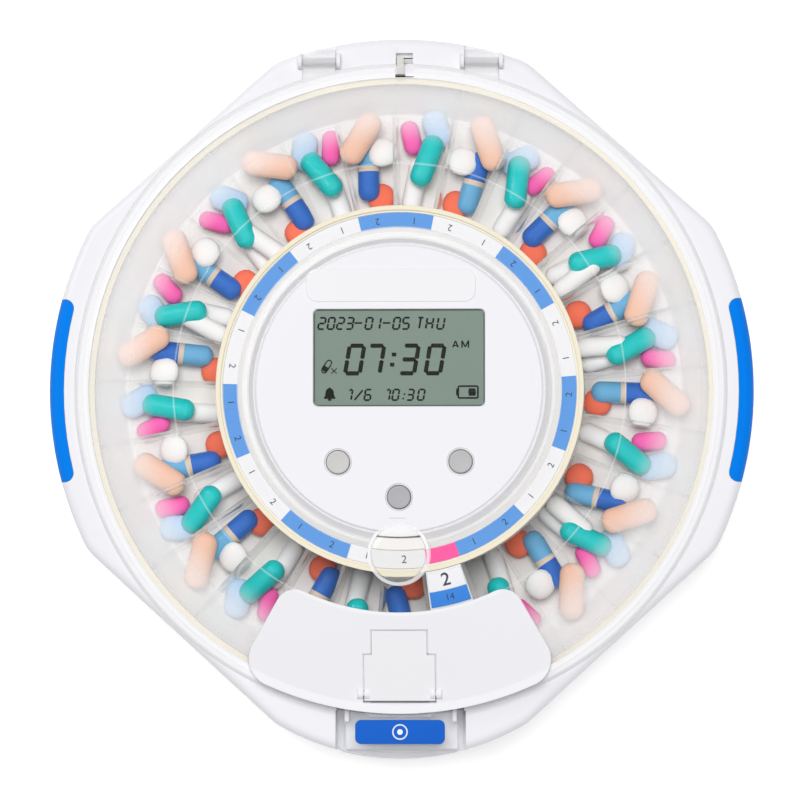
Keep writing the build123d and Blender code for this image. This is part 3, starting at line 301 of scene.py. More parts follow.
def see_through(name, colour, haze, roughness=0.06, bands=(), gloss=1.0, gleam=0.5):
    """Thin clear plastic: light passes, gloss stays at glancing angles, and haze makes it milky.

    bands are rings: inner and outer radius and softness in mm, haze (painted light on some rings), darkness
    (painted shade, for the grey lines that refraction draws), and how far in front of the tray's axis their centre
    is, in mm.
    """
    mat, tree, skin = new_material(name)
    skin.inputs["Specular IOR Level"].default_value = gleam
    smear = speckle(tree, 60)
    rough = math_node(tree, "MULTIPLY_ADD", smear, 0.08, roughness - 0.04)
    tree.links.new(rough, skin.inputs["Roughness"])
    clear = tree.nodes.new("ShaderNodeBsdfTransparent")
    edge = tree.nodes.new("ShaderNodeLayerWeight")
    edge.inputs["Blend"].default_value = 0.5
    milk_and_painted_light = math_node(tree, "MULTIPLY_ADD", smear, haze * 0.4, haze * 0.8)
    axes = object_axes(tree)
    # a faint random mottle; the rings below add their painted shade to it
    shade = math_node(tree, "MULTIPLY", smear, 0.02)
    # on some rings the added haze is painted light over shade beneath, and each ring's darkness is painted shade
    for inner, outer, softness, haze_and_painted_light, painted_shade, forward in bands:
        radius = from_axis(tree, axes, forward * MM)
        inside = math_node(tree, "SUBTRACT", soft_step(tree, radius, inner * MM, softness * MM),
                           soft_step(tree, radius, outer * MM, softness * MM))
        milk_and_painted_light = math_node(tree, "MULTIPLY_ADD", inside, haze_and_painted_light, milk_and_painted_light)
        if painted_shade:
            shade = math_node(tree, "MULTIPLY_ADD", inside, painted_shade, shade)
    tree.links.new(mix_colour(tree, shade, srgb(*colour), srgb(0, 0, 0)), skin.inputs["Base Color"])
    glancing = math_node(tree, "MULTIPLY", math_node(tree, "POWER", edge.outputs["Facing"], 4.0), gloss)
    cover = math_node(tree, "MINIMUM", math_node(tree, "ADD", glancing, milk_and_painted_light), 0.9)
    path = tree.nodes.new("ShaderNodeLightPath")
    passing = math_node(tree, "MAXIMUM", path.outputs["Is Shadow Ray"], path.outputs["Is Diffuse Ray"])
    cover = math_node(tree, "MULTIPLY", cover, math_node(tree, "SUBTRACT", 1.0, passing))
    blend = tree.nodes.new("ShaderNodeMixShader")
    tree.links.new(cover, blend.inputs[0])
    tree.links.new(clear.outputs[0], blend.inputs[1])
    tree.links.new(skin.outputs[0], blend.inputs[2])
    tree.links.new(blend.outputs[0], tree.nodes["Material Output"].inputs["Surface"])
    return mat


dress(see_through("divider_clear", (252, 250, 247), 0.14), "tray_dividers")

# ---------------------------------------------------------------- label ring
# A printed paper ring lies in a groove of the tray's core. Two doses a day alternate between blue and
# white by pairs, numbered 1 and 2, and the home place is pink.

ring_print, tree, skin = new_material("ring_print")
axes = object_axes(tree)
ahead = math_node(tree, "SUBTRACT", AXIS.y, axes.outputs["Y"])
angle = math_node(tree, "ARCTAN2", axes.outputs["X"], ahead)
steps = math_node(tree, "DIVIDE", math_node(tree, "SUBTRACT", angle, FIRST_DIVIDER), PITCH)
pocket = math_node(tree, "FLOOR", math_node(tree, "WRAP", steps, POCKETS, 0))
pair = math_node(tree, "FLOOR", math_node(tree, "MULTIPLY_ADD", pocket, 0.5, -0.5))
is_white = math_node(tree, "FLOORED_MODULO", pair, 2)
is_home = math_node(tree, "LESS_THAN", pocket, 0.5)
pairs = mix_colour(tree, is_white, srgb(74, 146, 222), srgb(240, 240, 242))
fibre = speckle(tree, 2500)
printed = mix_colour(tree, is_home, pairs, srgb(255, 70, 155))
paper = mix_colour(tree, math_node(tree, "MULTIPLY", fibre, 0.1), printed, srgb(255, 255, 255))
tree.links.new(paper, skin.inputs["Base Color"])
tree.links.new(math_node(tree, "MULTIPLY_ADD", fibre, 0.1, 0.42), skin.inputs["Roughness"])
dress(ring_print, "label_ring")


def printed_ink(name, colour):
    """Flat ink: one colour with a fine unevenness, and no worn edge."""
    mat, tree, skin = new_material(name)
    skin.inputs["Roughness"].default_value = 0.6
    skin.inputs["Specular IOR Level"].default_value = 0.2
    thin = [c + 8 for c in colour]
    spread = speckle(tree, 3000)
    tree.links.new(mix_colour(tree, spread, srgb(*colour), srgb(*thin)), skin.inputs["Base Color"])
    return mat


ink = printed_ink("print_ink", (62, 64, 78))


def copies(model, matrices, name):
    """Copies of a finished mesh at the given places, joined into one piece; the model goes."""
    made = []
    for matrix in matrices:
        twin = model.copy()
        twin.data = model.data.copy()
        twin.data.transform(matrix)
        bpy.context.collection.objects.link(twin)
        made.append(twin)
    bpy.data.objects.remove(model)
    bpy.ops.object.select_all(action="DESELECT")
    for twin in made:
        twin.select_set(True)
    bpy.context.view_layer.objects.active = made[0]
    if len(made) > 1:
        bpy.ops.object.join()
    joined = bpy.context.view_layer.objects.active
    joined.name = name
    joined.select_set(False)
    return joined


def figure(text, height, mat, bold=0.0):
    """A printed figure as a thin mesh, centred on the origin; bold swells its strokes."""
    bpy.ops.object.text_add(location=(0, 0, 0))
    shape = bpy.context.object
    shape.data.body = text
    shape.data.size = height * 1.4
    shape.data.align_x = "CENTER"
    shape.data.align_y = "CENTER"
    shape.data.offset = bold
    shape.data.extrude = 0.00002
    bpy.ops.object.convert(target="MESH")
    shape = bpy.context.object
    shape.data.materials.clear()
    shape.data.materials.append(mat)
    return shape


label_radius = (ring_high.x - ring_low.x) / 2 - 2.35 * MM
label_top = ring_high.z + 0.00003
for digit, first in (("1", 1), ("2", 2)):
    turns = [FIRST_DIVIDER + PITCH * (k + 0.5) for k in range(first, POCKETS, 2)]
    digits = copies(figure(digit, 2.15 * MM, ink), [at_angle(a, label_radius, label_top) for a in turns],
                    f"ring_digits_{digit}")
    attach(digits, "tray")

# ---------------------------------------------------------------- home card
# The home place holds a white insert with a printed card: white with a plain figure, then blue.

dress(gloss_white, "home_insert")


def sector(name, inner, outer, start, stop, height, thickness, mat):
    """A thin curved plate on the tray between two radii and two angles."""
    bpy.ops.mesh.primitive_grid_add(x_subdivisions=12, y_subdivisions=3, size=1)
    plate = bpy.context.object
    plate.name = name
    for vertex in plate.data.vertices:
        angle = start + (stop - start) * (vertex.co.x + 0.5)
        radius = inner + (outer - inner) * (vertex.co.y + 0.5)
        vertex.co = Vector((sin(angle) * radius, -cos(angle) * radius, height)) + AXIS
    wall = plate.modifiers.new("thickness", "SOLIDIFY")
    wall.thickness = thickness
    wall.offset = 0
    bpy.ops.object.modifier_apply(modifier=wall.name)
    bpy.ops.object.mode_set(mode="EDIT")
    bpy.ops.mesh.select_all(action="SELECT")
    bpy.ops.mesh.normals_make_consistent(inside=False)
    bpy.ops.object.mode_set(mode="OBJECT")
    plate.data.materials.append(mat)
    plate.select_set(False)
    return plate


CARD_R = (60.0, 66.2, 71.2)      # inner edge, change of colour, outer edge, in mm
card_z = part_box("home_insert")[1].z + 0.0001
home_start = FIRST_DIVIDER + radians(0.9)
home_stop = FIRST_DIVIDER + PITCH - radians(0.9)
card_white = moulded("card_white", (246, 246, 248), (240, 240, 243), 0.45)
card_blue = moulded("card_blue", (66, 142, 230), (58, 134, 222), 0.45, gleam=0.2)
for name, inner, outer, mat in (("card_upper", CARD_R[0], CARD_R[1], card_white),
                                ("card_lower", CARD_R[1], CARD_R[2], card_blue)):
    card = sector(name, inner * MM, outer * MM, home_start, home_stop, card_z, 0.00012, mat)
    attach(card, "tray")
home_middle = FIRST_DIVIDER + PITCH / 2
for name, text, height, radius, bold in (("card_figure", "2", 4.2, 63.0, 0.00006),
                                         ("card_count", "14", 2.2, 68.7, 0.0)):
    place = at_angle(home_middle, radius * MM, card_z + 0.0001)
    printed = copies(figure(text, height * MM, ink, bold), [place], name)
    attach(printed, "tray")

# ---------------------------------------------------------------- pills
# Each pocket holds one dose of loose tablets and capsules. Two mixes alternate from pocket to pocket:
# gelatine capsules in two colours, and pressed tablets with a film coat.

BAND_HALF = 0.04     # half the capsule's middle band, as a share of its length


def coated(name, colour, roughness=0.32, gleam=0.2):
    """A film-coated or gelatine skin with a faint mottle."""
    return moulded(name, colour, [c * 0.97 for c in colour], roughness, 2400, 0.000008, 0.0003, gleam)


def pill(name, length, width, thickness, steps, mats):
    """A rounded bar along Y: a cylinder with rounded ends, flattened; a capsule has three colours from -Y to +Y."""
    bpy.ops.mesh.primitive_cylinder_add(vertices=16, radius=width / 2, depth=length, rotation=(pi / 2, 0, 0))
    body = bpy.context.object
    body.name = name
    bpy.ops.object.transform_apply(location=False, rotation=True, scale=True)
    rounding = body.modifiers.new("ends", "BEVEL")
    rounding.width = min(width, length) / 2 * 0.9
    rounding.segments = steps
    rounding.limit_method = "ANGLE"
    rounding.angle_limit = radians(60)
    bpy.ops.object.modifier_apply(modifier=rounding.name)
    band = BAND_HALF * length
    for along in (-band, band)[:len(mats) - 1]:
        bpy.ops.object.mode_set(mode="EDIT")
        bpy.ops.mesh.select_all(action="SELECT")
        bpy.ops.mesh.bisect(plane_co=(0, along, 0), plane_no=(0, 1, 0))
        bpy.ops.object.mode_set(mode="OBJECT")
    body.data.transform(Matrix.Diagonal((1, 1, thickness / width, 1)))
    for mat in mats:
        body.data.materials.append(mat)
    if len(mats) > 1:
        for face in body.data.polygons:
            face.material_index = 0 if face.center.y < -band else (1 if face.center.y < band else 2)
    bpy.ops.object.shade_smooth_by_angle(angle=radians(50))
    body.select_set(False)
    return body


royal = coated("capsule_royal", (52, 112, 204), 0.2, 0.35)
steel_blue = coated("capsule_steel", (112, 180, 224), 0.2, 0.35)
beige = coated("capsule_band", (226, 206, 186), 0.4)
teal = coated("softgel_teal", (0, 206, 204), 0.1, 0.6)
white_coat = coated("tablet_white", (252, 251, 250), 0.4)
peach = coated("tablet_peach", (250, 202, 178), 0.4)
orange = coated("tablet_orange", (255, 122, 92), 0.35)
pink = coated("tablet_pink", (255, 104, 184), 0.35)
pale_blue = coated("tablet_pale_blue", (184, 214, 244), 0.4)

# kind: length, width, thickness, rounding steps, colours
KINDS = {
    "capsule": (21.0, 7.1, 7.1, 5, (royal, beige, steel_blue)),
    "softgel": (17.8, 7.3, 6.6, 5, (teal,)),
    "round": (9.8, 9.8, 4.6, 4, (white_coat,)),
    "dot": (9.0, 9.0, 4.2, 4, (orange,)),
    "peach": (18.6, 8.2, 5.6, 5, (peach,)),
    "caplet": (17.6, 6.4, 5.4, 5, (white_coat,)),
    "pink": (11.5, 6.0, 4.6, 4, (pink,)),
    "oval": (13.0, 8.4, 4.6, 4, (pale_blue,)),
}
# pocket mixes: kind, radius, sideways place, height of the centre, turn in the pocket, lean
MIXES = (
    (("capsule", 72.4, -2.2, 24.9, 6, 0), ("dot", 62.9, 1.4, 24.0, 0, 8), ("round", 77.6, 3.8, 27.2, 0, 20),
     ("peach", 84.4, -2.4, 30.2, 42, 6)),
    (("caplet", 67.4, 1.6, 24.0, -5, 0), ("softgel", 76.6, -1.0, 28.6, -20, 14), ("pink", 82.6, 4.6, 24.8, 24, 6),
     ("oval", 85.4, -3.6, 24.6, 30, 0), ("caplet", 67.0, -2.4, 29.4, 9, 4)),
)
FLIP = (1, -1)
draw = Random(29)
places = {kind: [] for kind in KINDS}
for k in range(1, POCKETS):
    mix = MIXES[k % 2]
    side = FLIP[(k // 2) % 2]
    count = 4 + (draw.random() < 0.4)
    for kind, radius, aside, height, turn, lean in mix[:count]:
        radius += draw.uniform(-1.2, 1.2)
        aside = side * aside + draw.uniform(-0.6, 0.6)
        turn = side * turn + draw.uniform(-8, 8)
        lean = lean + draw.uniform(-4, 4)
        if kind == "capsule" and draw.random() < 0.5:
            turn += 180
        spot = (at_angle(FIRST_DIVIDER + PITCH * (k + 0.5), radius * MM, height * MM)
                @ Matrix.Translation((aside * MM, 0, 0)) @ Matrix.Rotation(radians(turn), 4, "Z")
                @ Matrix.Rotation(radians(lean), 4, "X"))
        places[kind].append(spot)
for kind, (length, width, thickness, steps, mats) in KINDS.items():
    model = pill(kind, length * MM, width * MM, thickness * MM, steps, mats)
    dose = copies(model, places[kind], f"pills_{kind}")
    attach(dose, "tray")

# ---------------------------------------------------------------- dial
# The dial is the cap of the hub: gloss white, with a window for the display and three round keys.

dress(gloss_white, "dial_cap")
dress(see_through("window_clear", (250, 252, 252), 0.004, 0.05, gloss=0.1), "lcd_window")
dress(moulded("lcd_green_grey", (126, 144, 133), (120, 138, 127), 0.4, 3000, 0.000002), "lcd_module")

# ---------------------------------------------------------------- display film
# A grey-green polariser is glued under the pane. A band along its edge is darkened with painted shade, for the
# shadow of the recess round the window.

pane_low, pane_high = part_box("lcd_window")
pane_size = pane_high - pane_low
SCREEN = Vector(((pane_low.x + pane_high.x) / 2, (pane_low.y + pane_high.y) / 2, pane_low.z + 0.0001))
SHADE_BAND_WIDTH = 0.0005


def rounded_sheet(name, centre, wide, deep, corner, segments=6):
    """A flat sheet with rounded corners, centred on a point."""
    bpy.ops.mesh.primitive_plane_add(size=1, location=centre)
    sheet = bpy.context.object
    sheet.name = name
    sheet.scale = (wide, deep, 1)
    bpy.ops.object.transform_apply(location=True, rotation=True, scale=True)
    bpy.ops.object.mode_set(mode="EDIT")
    bpy.ops.mesh.select_all(action="SELECT")
    bpy.ops.mesh.bevel(offset=corner, segments=segments, affect="VERTICES")
    bpy.ops.object.mode_set(mode="OBJECT")
    return sheet


film = rounded_sheet("display_film", SCREEN, pane_size.x - 0.0002, pane_size.y - 0.0002, 0.0018)
film_mat = moulded("lcd_film", (133, 148, 139), (124, 142, 131), 0.4, 3000, 0.000002, gleam=0.1)
tree = film_mat.node_tree
skin = tree.nodes["Principled BSDF"]
axes = object_axes(tree)
# painted shade: a darker band along the film's edge stands for the shadow of the recess round it
beside = math_node(tree, "ABSOLUTE", math_node(tree, "SUBTRACT", axes.outputs["X"], SCREEN.x))
above = math_node(tree, "ABSOLUTE", math_node(tree, "SUBTRACT", axes.outputs["Y"], SCREEN.y))
painted_shade_band = math_node(tree, "MAXIMUM",
                math_node(tree, "GREATER_THAN", beside, pane_size.x / 2 - SHADE_BAND_WIDTH),
                math_node(tree, "GREATER_THAN", above, pane_size.y / 2 - SHADE_BAND_WIDTH))
plain = skin.inputs["Base Color"].links[0].from_socket
tree.links.new(mix_colour(tree, painted_shade_band, plain, srgb(84, 98, 90)), skin.inputs["Base Color"])
film.data.materials.append(film_mat)
film.select_set(False)
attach(film, "base")

# ---------------------------------------------------------------- display figures
# The liquid-crystal figures are dark segments behind the pane: a date, the time, an alarm, a
# dose count, a capsule, a bell and a battery. All of it is plain and generic.

lcd_ink = printed_ink("lcd_ink", (2, 2, 2))
SCREEN.z += 0.00004
SLANT = 0.17

# A unit bar along +X: six corners, as a liquid-crystal segment has.
bpy.ops.mesh.primitive_circle_add(vertices=6, radius=1, fill_type="NGON")
bar_model = bpy.context.object
corners = ((-0.5, 0), (-0.42, -0.5), (0.42, -0.5), (0.5, 0), (0.42, 0.5), (-0.42, 0.5))
for vertex, (x, y) in zip(bar_model.data.vertices, corners):
    vertex.co = (x, y, 0)
bpy.ops.object.mode_set(mode="EDIT")
bpy.ops.mesh.select_all(action="SELECT")
bpy.ops.mesh.normals_make_consistent(inside=False)
bpy.ops.object.mode_set(mode="OBJECT")
bar_model.data.materials.append(lcd_ink)
bar_model.select_set(False)

NODES = {"bl": (0, 0), "ml": (0, 0.5), "tl": (0, 1), "br": (1, 0), "mr": (1, 0.5), "tr": (1, 1), "b": (0.5, 0),
         "t": (0.5, 1)}
SEGMENTS = {"a": ("tl", "tr"), "b": ("mr", "tr"), "c": ("br", "mr"), "d": ("bl", "br"), "e": ("bl", "ml"),
            "f": ("ml", "tl"), "g": ("ml", "mr"), "v": ("b", "t")}
GLYPHS = {"0": "abcdef", "1": "bc", "2": "abged", "3": "abgcd", "5": "afgcd", "6": "afgedc", "7": "abc",
          "T": "av", "H": "fegbc", "U": "fedcb"}
strokes = []


def stroke(start, end, width):
    """Adds a bar between two points of the screen, in millimetres from its centre."""
    run = Vector(end) - Vector(start)
    middle = (Vector(start) + Vector(end)) / 2
    turn = Matrix.Rotation(run.to_2d().angle_signed(Vector((1, 0))), 4, "Z")
    size = Matrix.Diagonal((run.length, width, 1, 1))
    strokes.append(Matrix.Translation((middle.x, middle.y, 0)) @ turn @ size)


def readout(text, left, base, wide, tall, pitch, width, gap=0.1):
    """Slanted segment characters from the left, on a base line."""
    for place, letter in enumerate(text):
        for segment in GLYPHS[letter]:
            ends = []
            for name in SEGMENTS[segment]:
                x, y = NODES[name]
                ends.append(Vector((left + place * pitch + x * wide + y * tall * SLANT, base + y * tall, 0)))
            run = (ends[1] - ends[0]).normalized() * gap
            stroke((ends[0] + run)[:], (ends[1] - run)[:], width)


# base line, width, height, pitch, stroke and gap of each size of figure
DATE, TIME, SMALL = (9.25, 2.0, 3.65, 3.0, 0.62), (-5.0, 4.7, 8.9, 0, 1.36, 0.14), (-13.6, 1.9, 3.4, 0, 0.6)
readout("2023", -26.15, *DATE)
readout("0", -11.0, *DATE)
readout("1", -8.4, *DATE)
readout("05", -2.1, *DATE)
for x in (-14.5, -5.4):
    stroke((x, 11.2, 0), (x + 2.7, 11.2, 0), 0.55)
for letter, left in (("T", 5.4), ("H", 8.5), ("U", 12.1)):
    readout(letter, left, *DATE)
for digit, left in (("0", -17.4), ("7", -11.0), ("3", 0.1), ("0", 8.45)):
    readout(digit, left, *TIME)
for x, y in ((-2.25, -2.2), (-1.65, 1.05)):
    stroke((x - 0.76, y, 0), (x + 0.76, y, 0), 1.25)
for digit, left in (("1", -17.4), ("6", -11.3), ("1", -5.2), ("0", -2.35), ("3", 2.4), ("0", 5.85)):
    readout(digit, left, *SMALL)
for start, end in (((-14.5, -13.7), (-11.6, -10.3)), ((-16.0, -10.6), (-15.1, -10.0)),
                   ((-3.9, -10.6), (-3.0, -10.0))):
    stroke((*start, 0), (*end, 0), 0.56)
for x, y in ((1.3, -13.1), (1.7, -11.7)):
    stroke((x - 0.3, y, 0), (x + 0.3, y, 0), 0.55)
# half-day letters
for start, end in (((17.2, 3.2), (18.1, 5.5)), ((18.1, 5.5), (19.0, 3.2)), ((17.5, 3.9), (18.7, 3.9)),
                   ((20.2, 3.1), (20.2, 5.6)), ((20.2, 5.5), (21.25, 3.4)), ((21.25, 3.4), (22.3, 5.5)),
                   ((22.3, 3.1), (22.3, 5.6))):
    stroke((*start, 0), (*end, 0), 0.44)
# battery mark
for start, end in (((18.8, -12.95), (25.5, -12.95)), ((18.8, -9.15), (25.5, -9.15)), ((19.0, -13.0), (19.0, -9.1)),
                   ((25.3, -13.0), (25.3, -9.1))):
    stroke((*start, 0), (*end, 0), 0.56)
stroke((18.6, -12.2, 0), (18.6, -9.9, 0), 0.6)
stroke((22.2, -11.05, 0), (24.7, -11.05, 0), 2.4)
# bell, as a stack of bars that widens downwards
for height, wide in ((-9.9, 0.9), (-10.3, 2.1), (-10.8, 2.7), (-11.3, 2.9), (-11.8, 3.0), (-12.3, 3.3),
                     (-12.85, 4.0)):
    stroke((-22.35 - wide / 2, height, 0), (-22.35 + wide / 2, height, 0), 0.66)
stroke((-22.95, -13.5, 0), (-21.75, -13.5, 0), 0.6)
# capsule: a rounded outline round two end centres, its lower half filled, and a small cross
low_end, high_end = Vector((-24.1, -4.0)), Vector((-22.55, -1.6))
along = (high_end - low_end).angle_signed(Vector((1, 0)))
outline = []
for step in range(14):
    turn = along + pi / 2 + pi * step / 6 if step < 7 else along + pi / 2 + pi * (step - 1) / 6
    outline.append((low_end if step < 7 else high_end) + Vector((cos(turn), sin(turn))) * 0.85)
for start, end in zip(outline, outline[1:] + outline[:1]):
    stroke((*start, 0), (*end, 0), 0.45)
middle = (low_end + high_end) / 2
stroke((*(low_end * 1.25 - middle * 0.25), 0), (*middle, 0), 1.9)
stroke((-21.9, -5.1, 0), (-20.0, -3.3, 0), 0.32)
stroke((-21.9, -3.3, 0), (-20.0, -5.1, 0), 0.32)
to_screen = Matrix.Translation(SCREEN) @ Matrix.Scale(MM, 4)
figures = copies(bar_model, [to_screen @ spot for spot in strokes], "display_figures")
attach(figures, "base")

# ---------------------------------------------------------------- keys
# Three round keys in grey ABS, each with a softened rim and a shallow dish for the fingertip. A thin
# white skirt fills the hole around each, and a flange under the dial traps them.

KEY_GREYS = {"left": (206, 205, 203), "right": (190, 190, 190), "centre": (178, 177, 182)}
FLANGE_T = 0.0009
for side, grey in KEY_GREYS.items():
    low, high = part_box(f"button_{side}")
    middle = (low + high) / 2
    flange_r = (high.x - low.x) / 2
    hole_r = flange_r - 0.0005
    cap_r = 0.0037
    bpy.ops.mesh.primitive_cylinder_add(vertices=64, radius=cap_r, depth=high.z - low.z - FLANGE_T,
                                        location=(middle.x, middle.y, (high.z + low.z + FLANGE_T) / 2))
    key = bpy.context.object
    bpy.ops.object.transform_apply(location=True)
    bpy.ops.object.mode_set(mode="EDIT")
    bpy.ops.mesh.select_all(action="DESELECT")
    bpy.ops.object.mode_set(mode="OBJECT")
    for face in key.data.polygons:
        face.select = face.normal.z > 0.9
    bpy.ops.object.mode_set(mode="EDIT")
    bpy.ops.mesh.inset(thickness=0.0005)
    bpy.ops.mesh.inset(thickness=0.0003)
    bpy.ops.transform.translate(value=(0, 0, -0.00015))
    bpy.ops.object.mode_set(mode="OBJECT")
    rim = key.modifiers.new("rim", "BEVEL")
    rim.width = 0.0005
    rim.segments = 4
    rim.limit_method = "ANGLE"
    bpy.ops.object.modifier_apply(modifier=rim.name)
    bpy.ops.mesh.primitive_cylinder_add(vertices=64, radius=flange_r, depth=FLANGE_T,
                                        location=(middle.x, middle.y, low.z + FLANGE_T / 2))
    flange = bpy.context.object
    bpy.ops.object.transform_apply(location=True)
    skirt_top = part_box("dial_cap")[1].z - 0.0002
    bpy.ops.mesh.primitive_cylinder_add(vertices=64, radius=hole_r - 0.00005, depth=skirt_top - low.z - 0.0008,
                                        end_fill_type="NOTHING",
                                        location=(middle.x, middle.y, (skirt_top + low.z + 0.0008) / 2))
    skirt = bpy.context.object
    bpy.ops.object.transform_apply(location=True)
    skirt.modifiers.new("wall", "SOLIDIFY").thickness = 0.0004
    bpy.ops.object.modifier_apply(modifier="wall")
    skirt.data.materials.append(gloss_white)
    grey_mat = moulded(f"key_grey_{side}", grey, [c - 5 for c in grey], 0.42)
    key.data.materials.append(grey_mat)
    flange.data.materials.append(grey_mat)
    key.select_set(True)
    flange.select_set(True)
    skirt.select_set(True)
    bpy.context.view_layer.objects.active = key
    bpy.ops.object.join()
    key.name = f"key_{side}_cap"
    bpy.ops.object.shade_smooth_by_angle(angle=radians(35))
    key.select_set(False)
    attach(key, f"key_{side}")
    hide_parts(f"button_{side}")

# ---------------------------------------------------------------- dial plate
# A thin bare white plate lies on the dial above the display.

dial_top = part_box("dial_cap")[1].z


def thicken(sheet, thickness):
    """Gives the active sheet a wall: downwards, or upwards where the thickness is negative."""
    sheet.modifiers.new("wall", "SOLIDIFY").thickness = thickness
    bpy.ops.object.modifier_apply(modifier="wall")


def soften(piece, width, segments):
    """Rounds the sharp edges of the active piece."""
    rim = piece.modifiers.new("rim", "BEVEL")
    rim.width = width
    rim.segments = segments
    bpy.ops.object.modifier_apply(modifier=rim.name)


plate = rounded_sheet("dial_plate", (-0.0026, AXIS.y + 0.0333, dial_top), 0.0545, 0.0106, 0.0035, 8)
thicken(plate, -0.00025)
soften(plate, 0.0001, 2)
plate.data.materials.append(moulded("plate_white", (243, 243, 245), (239, 239, 242), 0.24))
plate.select_set(False)
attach(plate, "base")

# ---------------------------------------------------------------- witness mark
# A short raised line is moulded on the dial below the middle key.

bpy.ops.mesh.primitive_cube_add(size=1, location=(-0.0005, AXIS.y - 0.0414, dial_top + 0.00008))
mark = bpy.context.object
mark.name = "moulded_mark"
mark.scale = (0.0052, 0.0005, 0.00022)
bpy.ops.object.transform_apply(location=True, rotation=True, scale=True)
soften(mark, 0.00009, 2)
mark.data.materials.append(gloss_white)
mark.select_set(False)
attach(mark, "base")

# ---------------------------------------------------------------- lid
# The lid is polished clear polycarbonate, with a raised centre over the dial. It hangs on two pins
# at the rear, and carries the magnifier and the white front panel.


def clear_moulding(name, tint, roughness, painted_light_within, bending=1.47):
    """Solid clear plastic that bends light; shadows and bounced light pass straight through it.

    Nearer the tray's axis than the radius given, in mm, it turns a diffuse white: painted light over the dark slot
    seen through it.
    """
    mat, tree, skin = new_material(name)
    skin.inputs["Base Color"].default_value = srgb(*tint)
    skin.inputs["Transmission Weight"].default_value = 1
    skin.inputs["IOR"].default_value = bending
    flow = speckle(tree, 40)
    rough = math_node(tree, "MULTIPLY_ADD", flow, 0.03, roughness)
    tree.links.new(rough, skin.inputs["Roughness"])
    ripple = tree.nodes.new("ShaderNodeBump")
    ripple.inputs["Distance"].default_value = 0.00001
    tree.links.new(flow, ripple.inputs["Height"])
    tree.links.new(ripple.outputs[0], skin.inputs["Normal"])
    path = tree.nodes.new("ShaderNodeLightPath")
    passing = math_node(tree, "MAXIMUM", path.outputs["Is Shadow Ray"], path.outputs["Is Diffuse Ray"])
    clear = tree.nodes.new("ShaderNodeBsdfTransparent")
    clear.inputs[0].default_value = srgb(250, 250, 250)
    blend = tree.nodes.new("ShaderNodeMixShader")
    tree.links.new(passing, blend.inputs[0])
    tree.links.new(skin.outputs[0], blend.inputs[1])
    tree.links.new(clear.outputs[0], blend.inputs[2])
    # painted light: a diffuse white laid over the dark slot that the lens would show
    white_diffuse = tree.nodes.new("ShaderNodeBsdfDiffuse")
    white_diffuse.inputs["Color"].default_value = srgb(250, 250, 250)
    near = math_node(tree, "LESS_THAN", from_axis(tree, object_axes(tree)), painted_light_within * MM)
    near = math_node(tree, "MULTIPLY", near, math_node(tree, "SUBTRACT", 0.75, passing))
    painted_light_blend = tree.nodes.new("ShaderNodeMixShader")
    tree.links.new(math_node(tree, "MAXIMUM", near, 0.0), painted_light_blend.inputs[0])
    tree.links.new(blend.outputs[0], painted_light_blend.inputs[1])
    tree.links.new(white_diffuse.outputs[0], painted_light_blend.inputs[2])
    tree.links.new(painted_light_blend.outputs[0], tree.nodes["Material Output"].inputs["Surface"])
    return mat


lens_low, lens_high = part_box("magnifier_lens")
lens_forward = (AXIS.y - (lens_low.y + lens_high.y) / 2) / MM
# rings of the lid that look milky or grey: the lid's haze on some, painted light and painted shade on others; see
# see_through
LID_BANDS = (
    # the step's milky look, which also paints light over the dark slot beneath it
    (46.4, 52.2, 0.2, 0.4, 0, 0),              # foot of the raised centre
    # a thin painted highlight along the bend
    (72.5, 73.0, 0.15, 0.14, 0, 0),            # bend
    (84.5, 100.4, 6.0, 0.32, 0, 0),            # slope
    # rim: haze painted as light over the shaded gap beneath, with painted shade for refraction lines in the outer
    # two steps
    (100.9, 102.5, 0.2, 0.85, 0, 0),           # rim, in three steps
    (102.5, 104.1, 0.2, 0.6, 0.03, 0),
    (104.1, 105.9, 0.3, 0.6, 0.14, 0),
    # knuckles: haze with a little painted shade
    (105.9, 113.0, 0.2, 0.3, 0.05, 0),         # knuckles
    (8.9, 10.1, 0.1, 0.45, 0, lens_forward),   # collar of the magnifier
)
lid_clear = see_through("lid_clear", (250, 250, 252), 0.006, bands=LID_BANDS)
dress(lid_clear, "lid_shell")
# within 47.6 mm of the tray's axis the lens gets painted light over the dark slot
dress(clear_moulding("lens_clear", (255, 255, 254), 0.0, 47.6, 1.5), "magnifier_lens")

# ---------------------------------------------------------------- front panel and flap
# A white panel is welded over the front of the lid. It carries the dispensing flap on a steel pin, here dressed
# in the panel's white, and a bracket with two posts that guide the press pad.

panel_white = moulded("panel_white", (245, 245, 249), (242, 242, 246), 0.3, edge=0.0005)
dress(panel_white, "front_panel", "flap_pin")
dress(moulded("flap_white", (245, 245, 248), (242, 242, 245), 0.3, edge=0.00002), "dispensing_flap")

# ---------------------------------------------------------------- hatch ledges
# White ledges and thin lips round the hatch close the gaps beside the flap. They are moulded with
# the front panel.

SLOPE, BEND_R, BEND_Z = atan2(8.5, 28.7), 72.8, 54.0     # the lid's slope at the front
on_slope = (Matrix.Translation(AXIS + Vector((0, -BEND_R * MM, BEND_Z * MM))) @ Matrix.Rotation(SLOPE, 4, "X"))
bpy.ops.mesh.primitive_cube_add(size=1)
ledge_model = bpy.context.object
ledge_model.data.materials.append(panel_white)
ledges = []
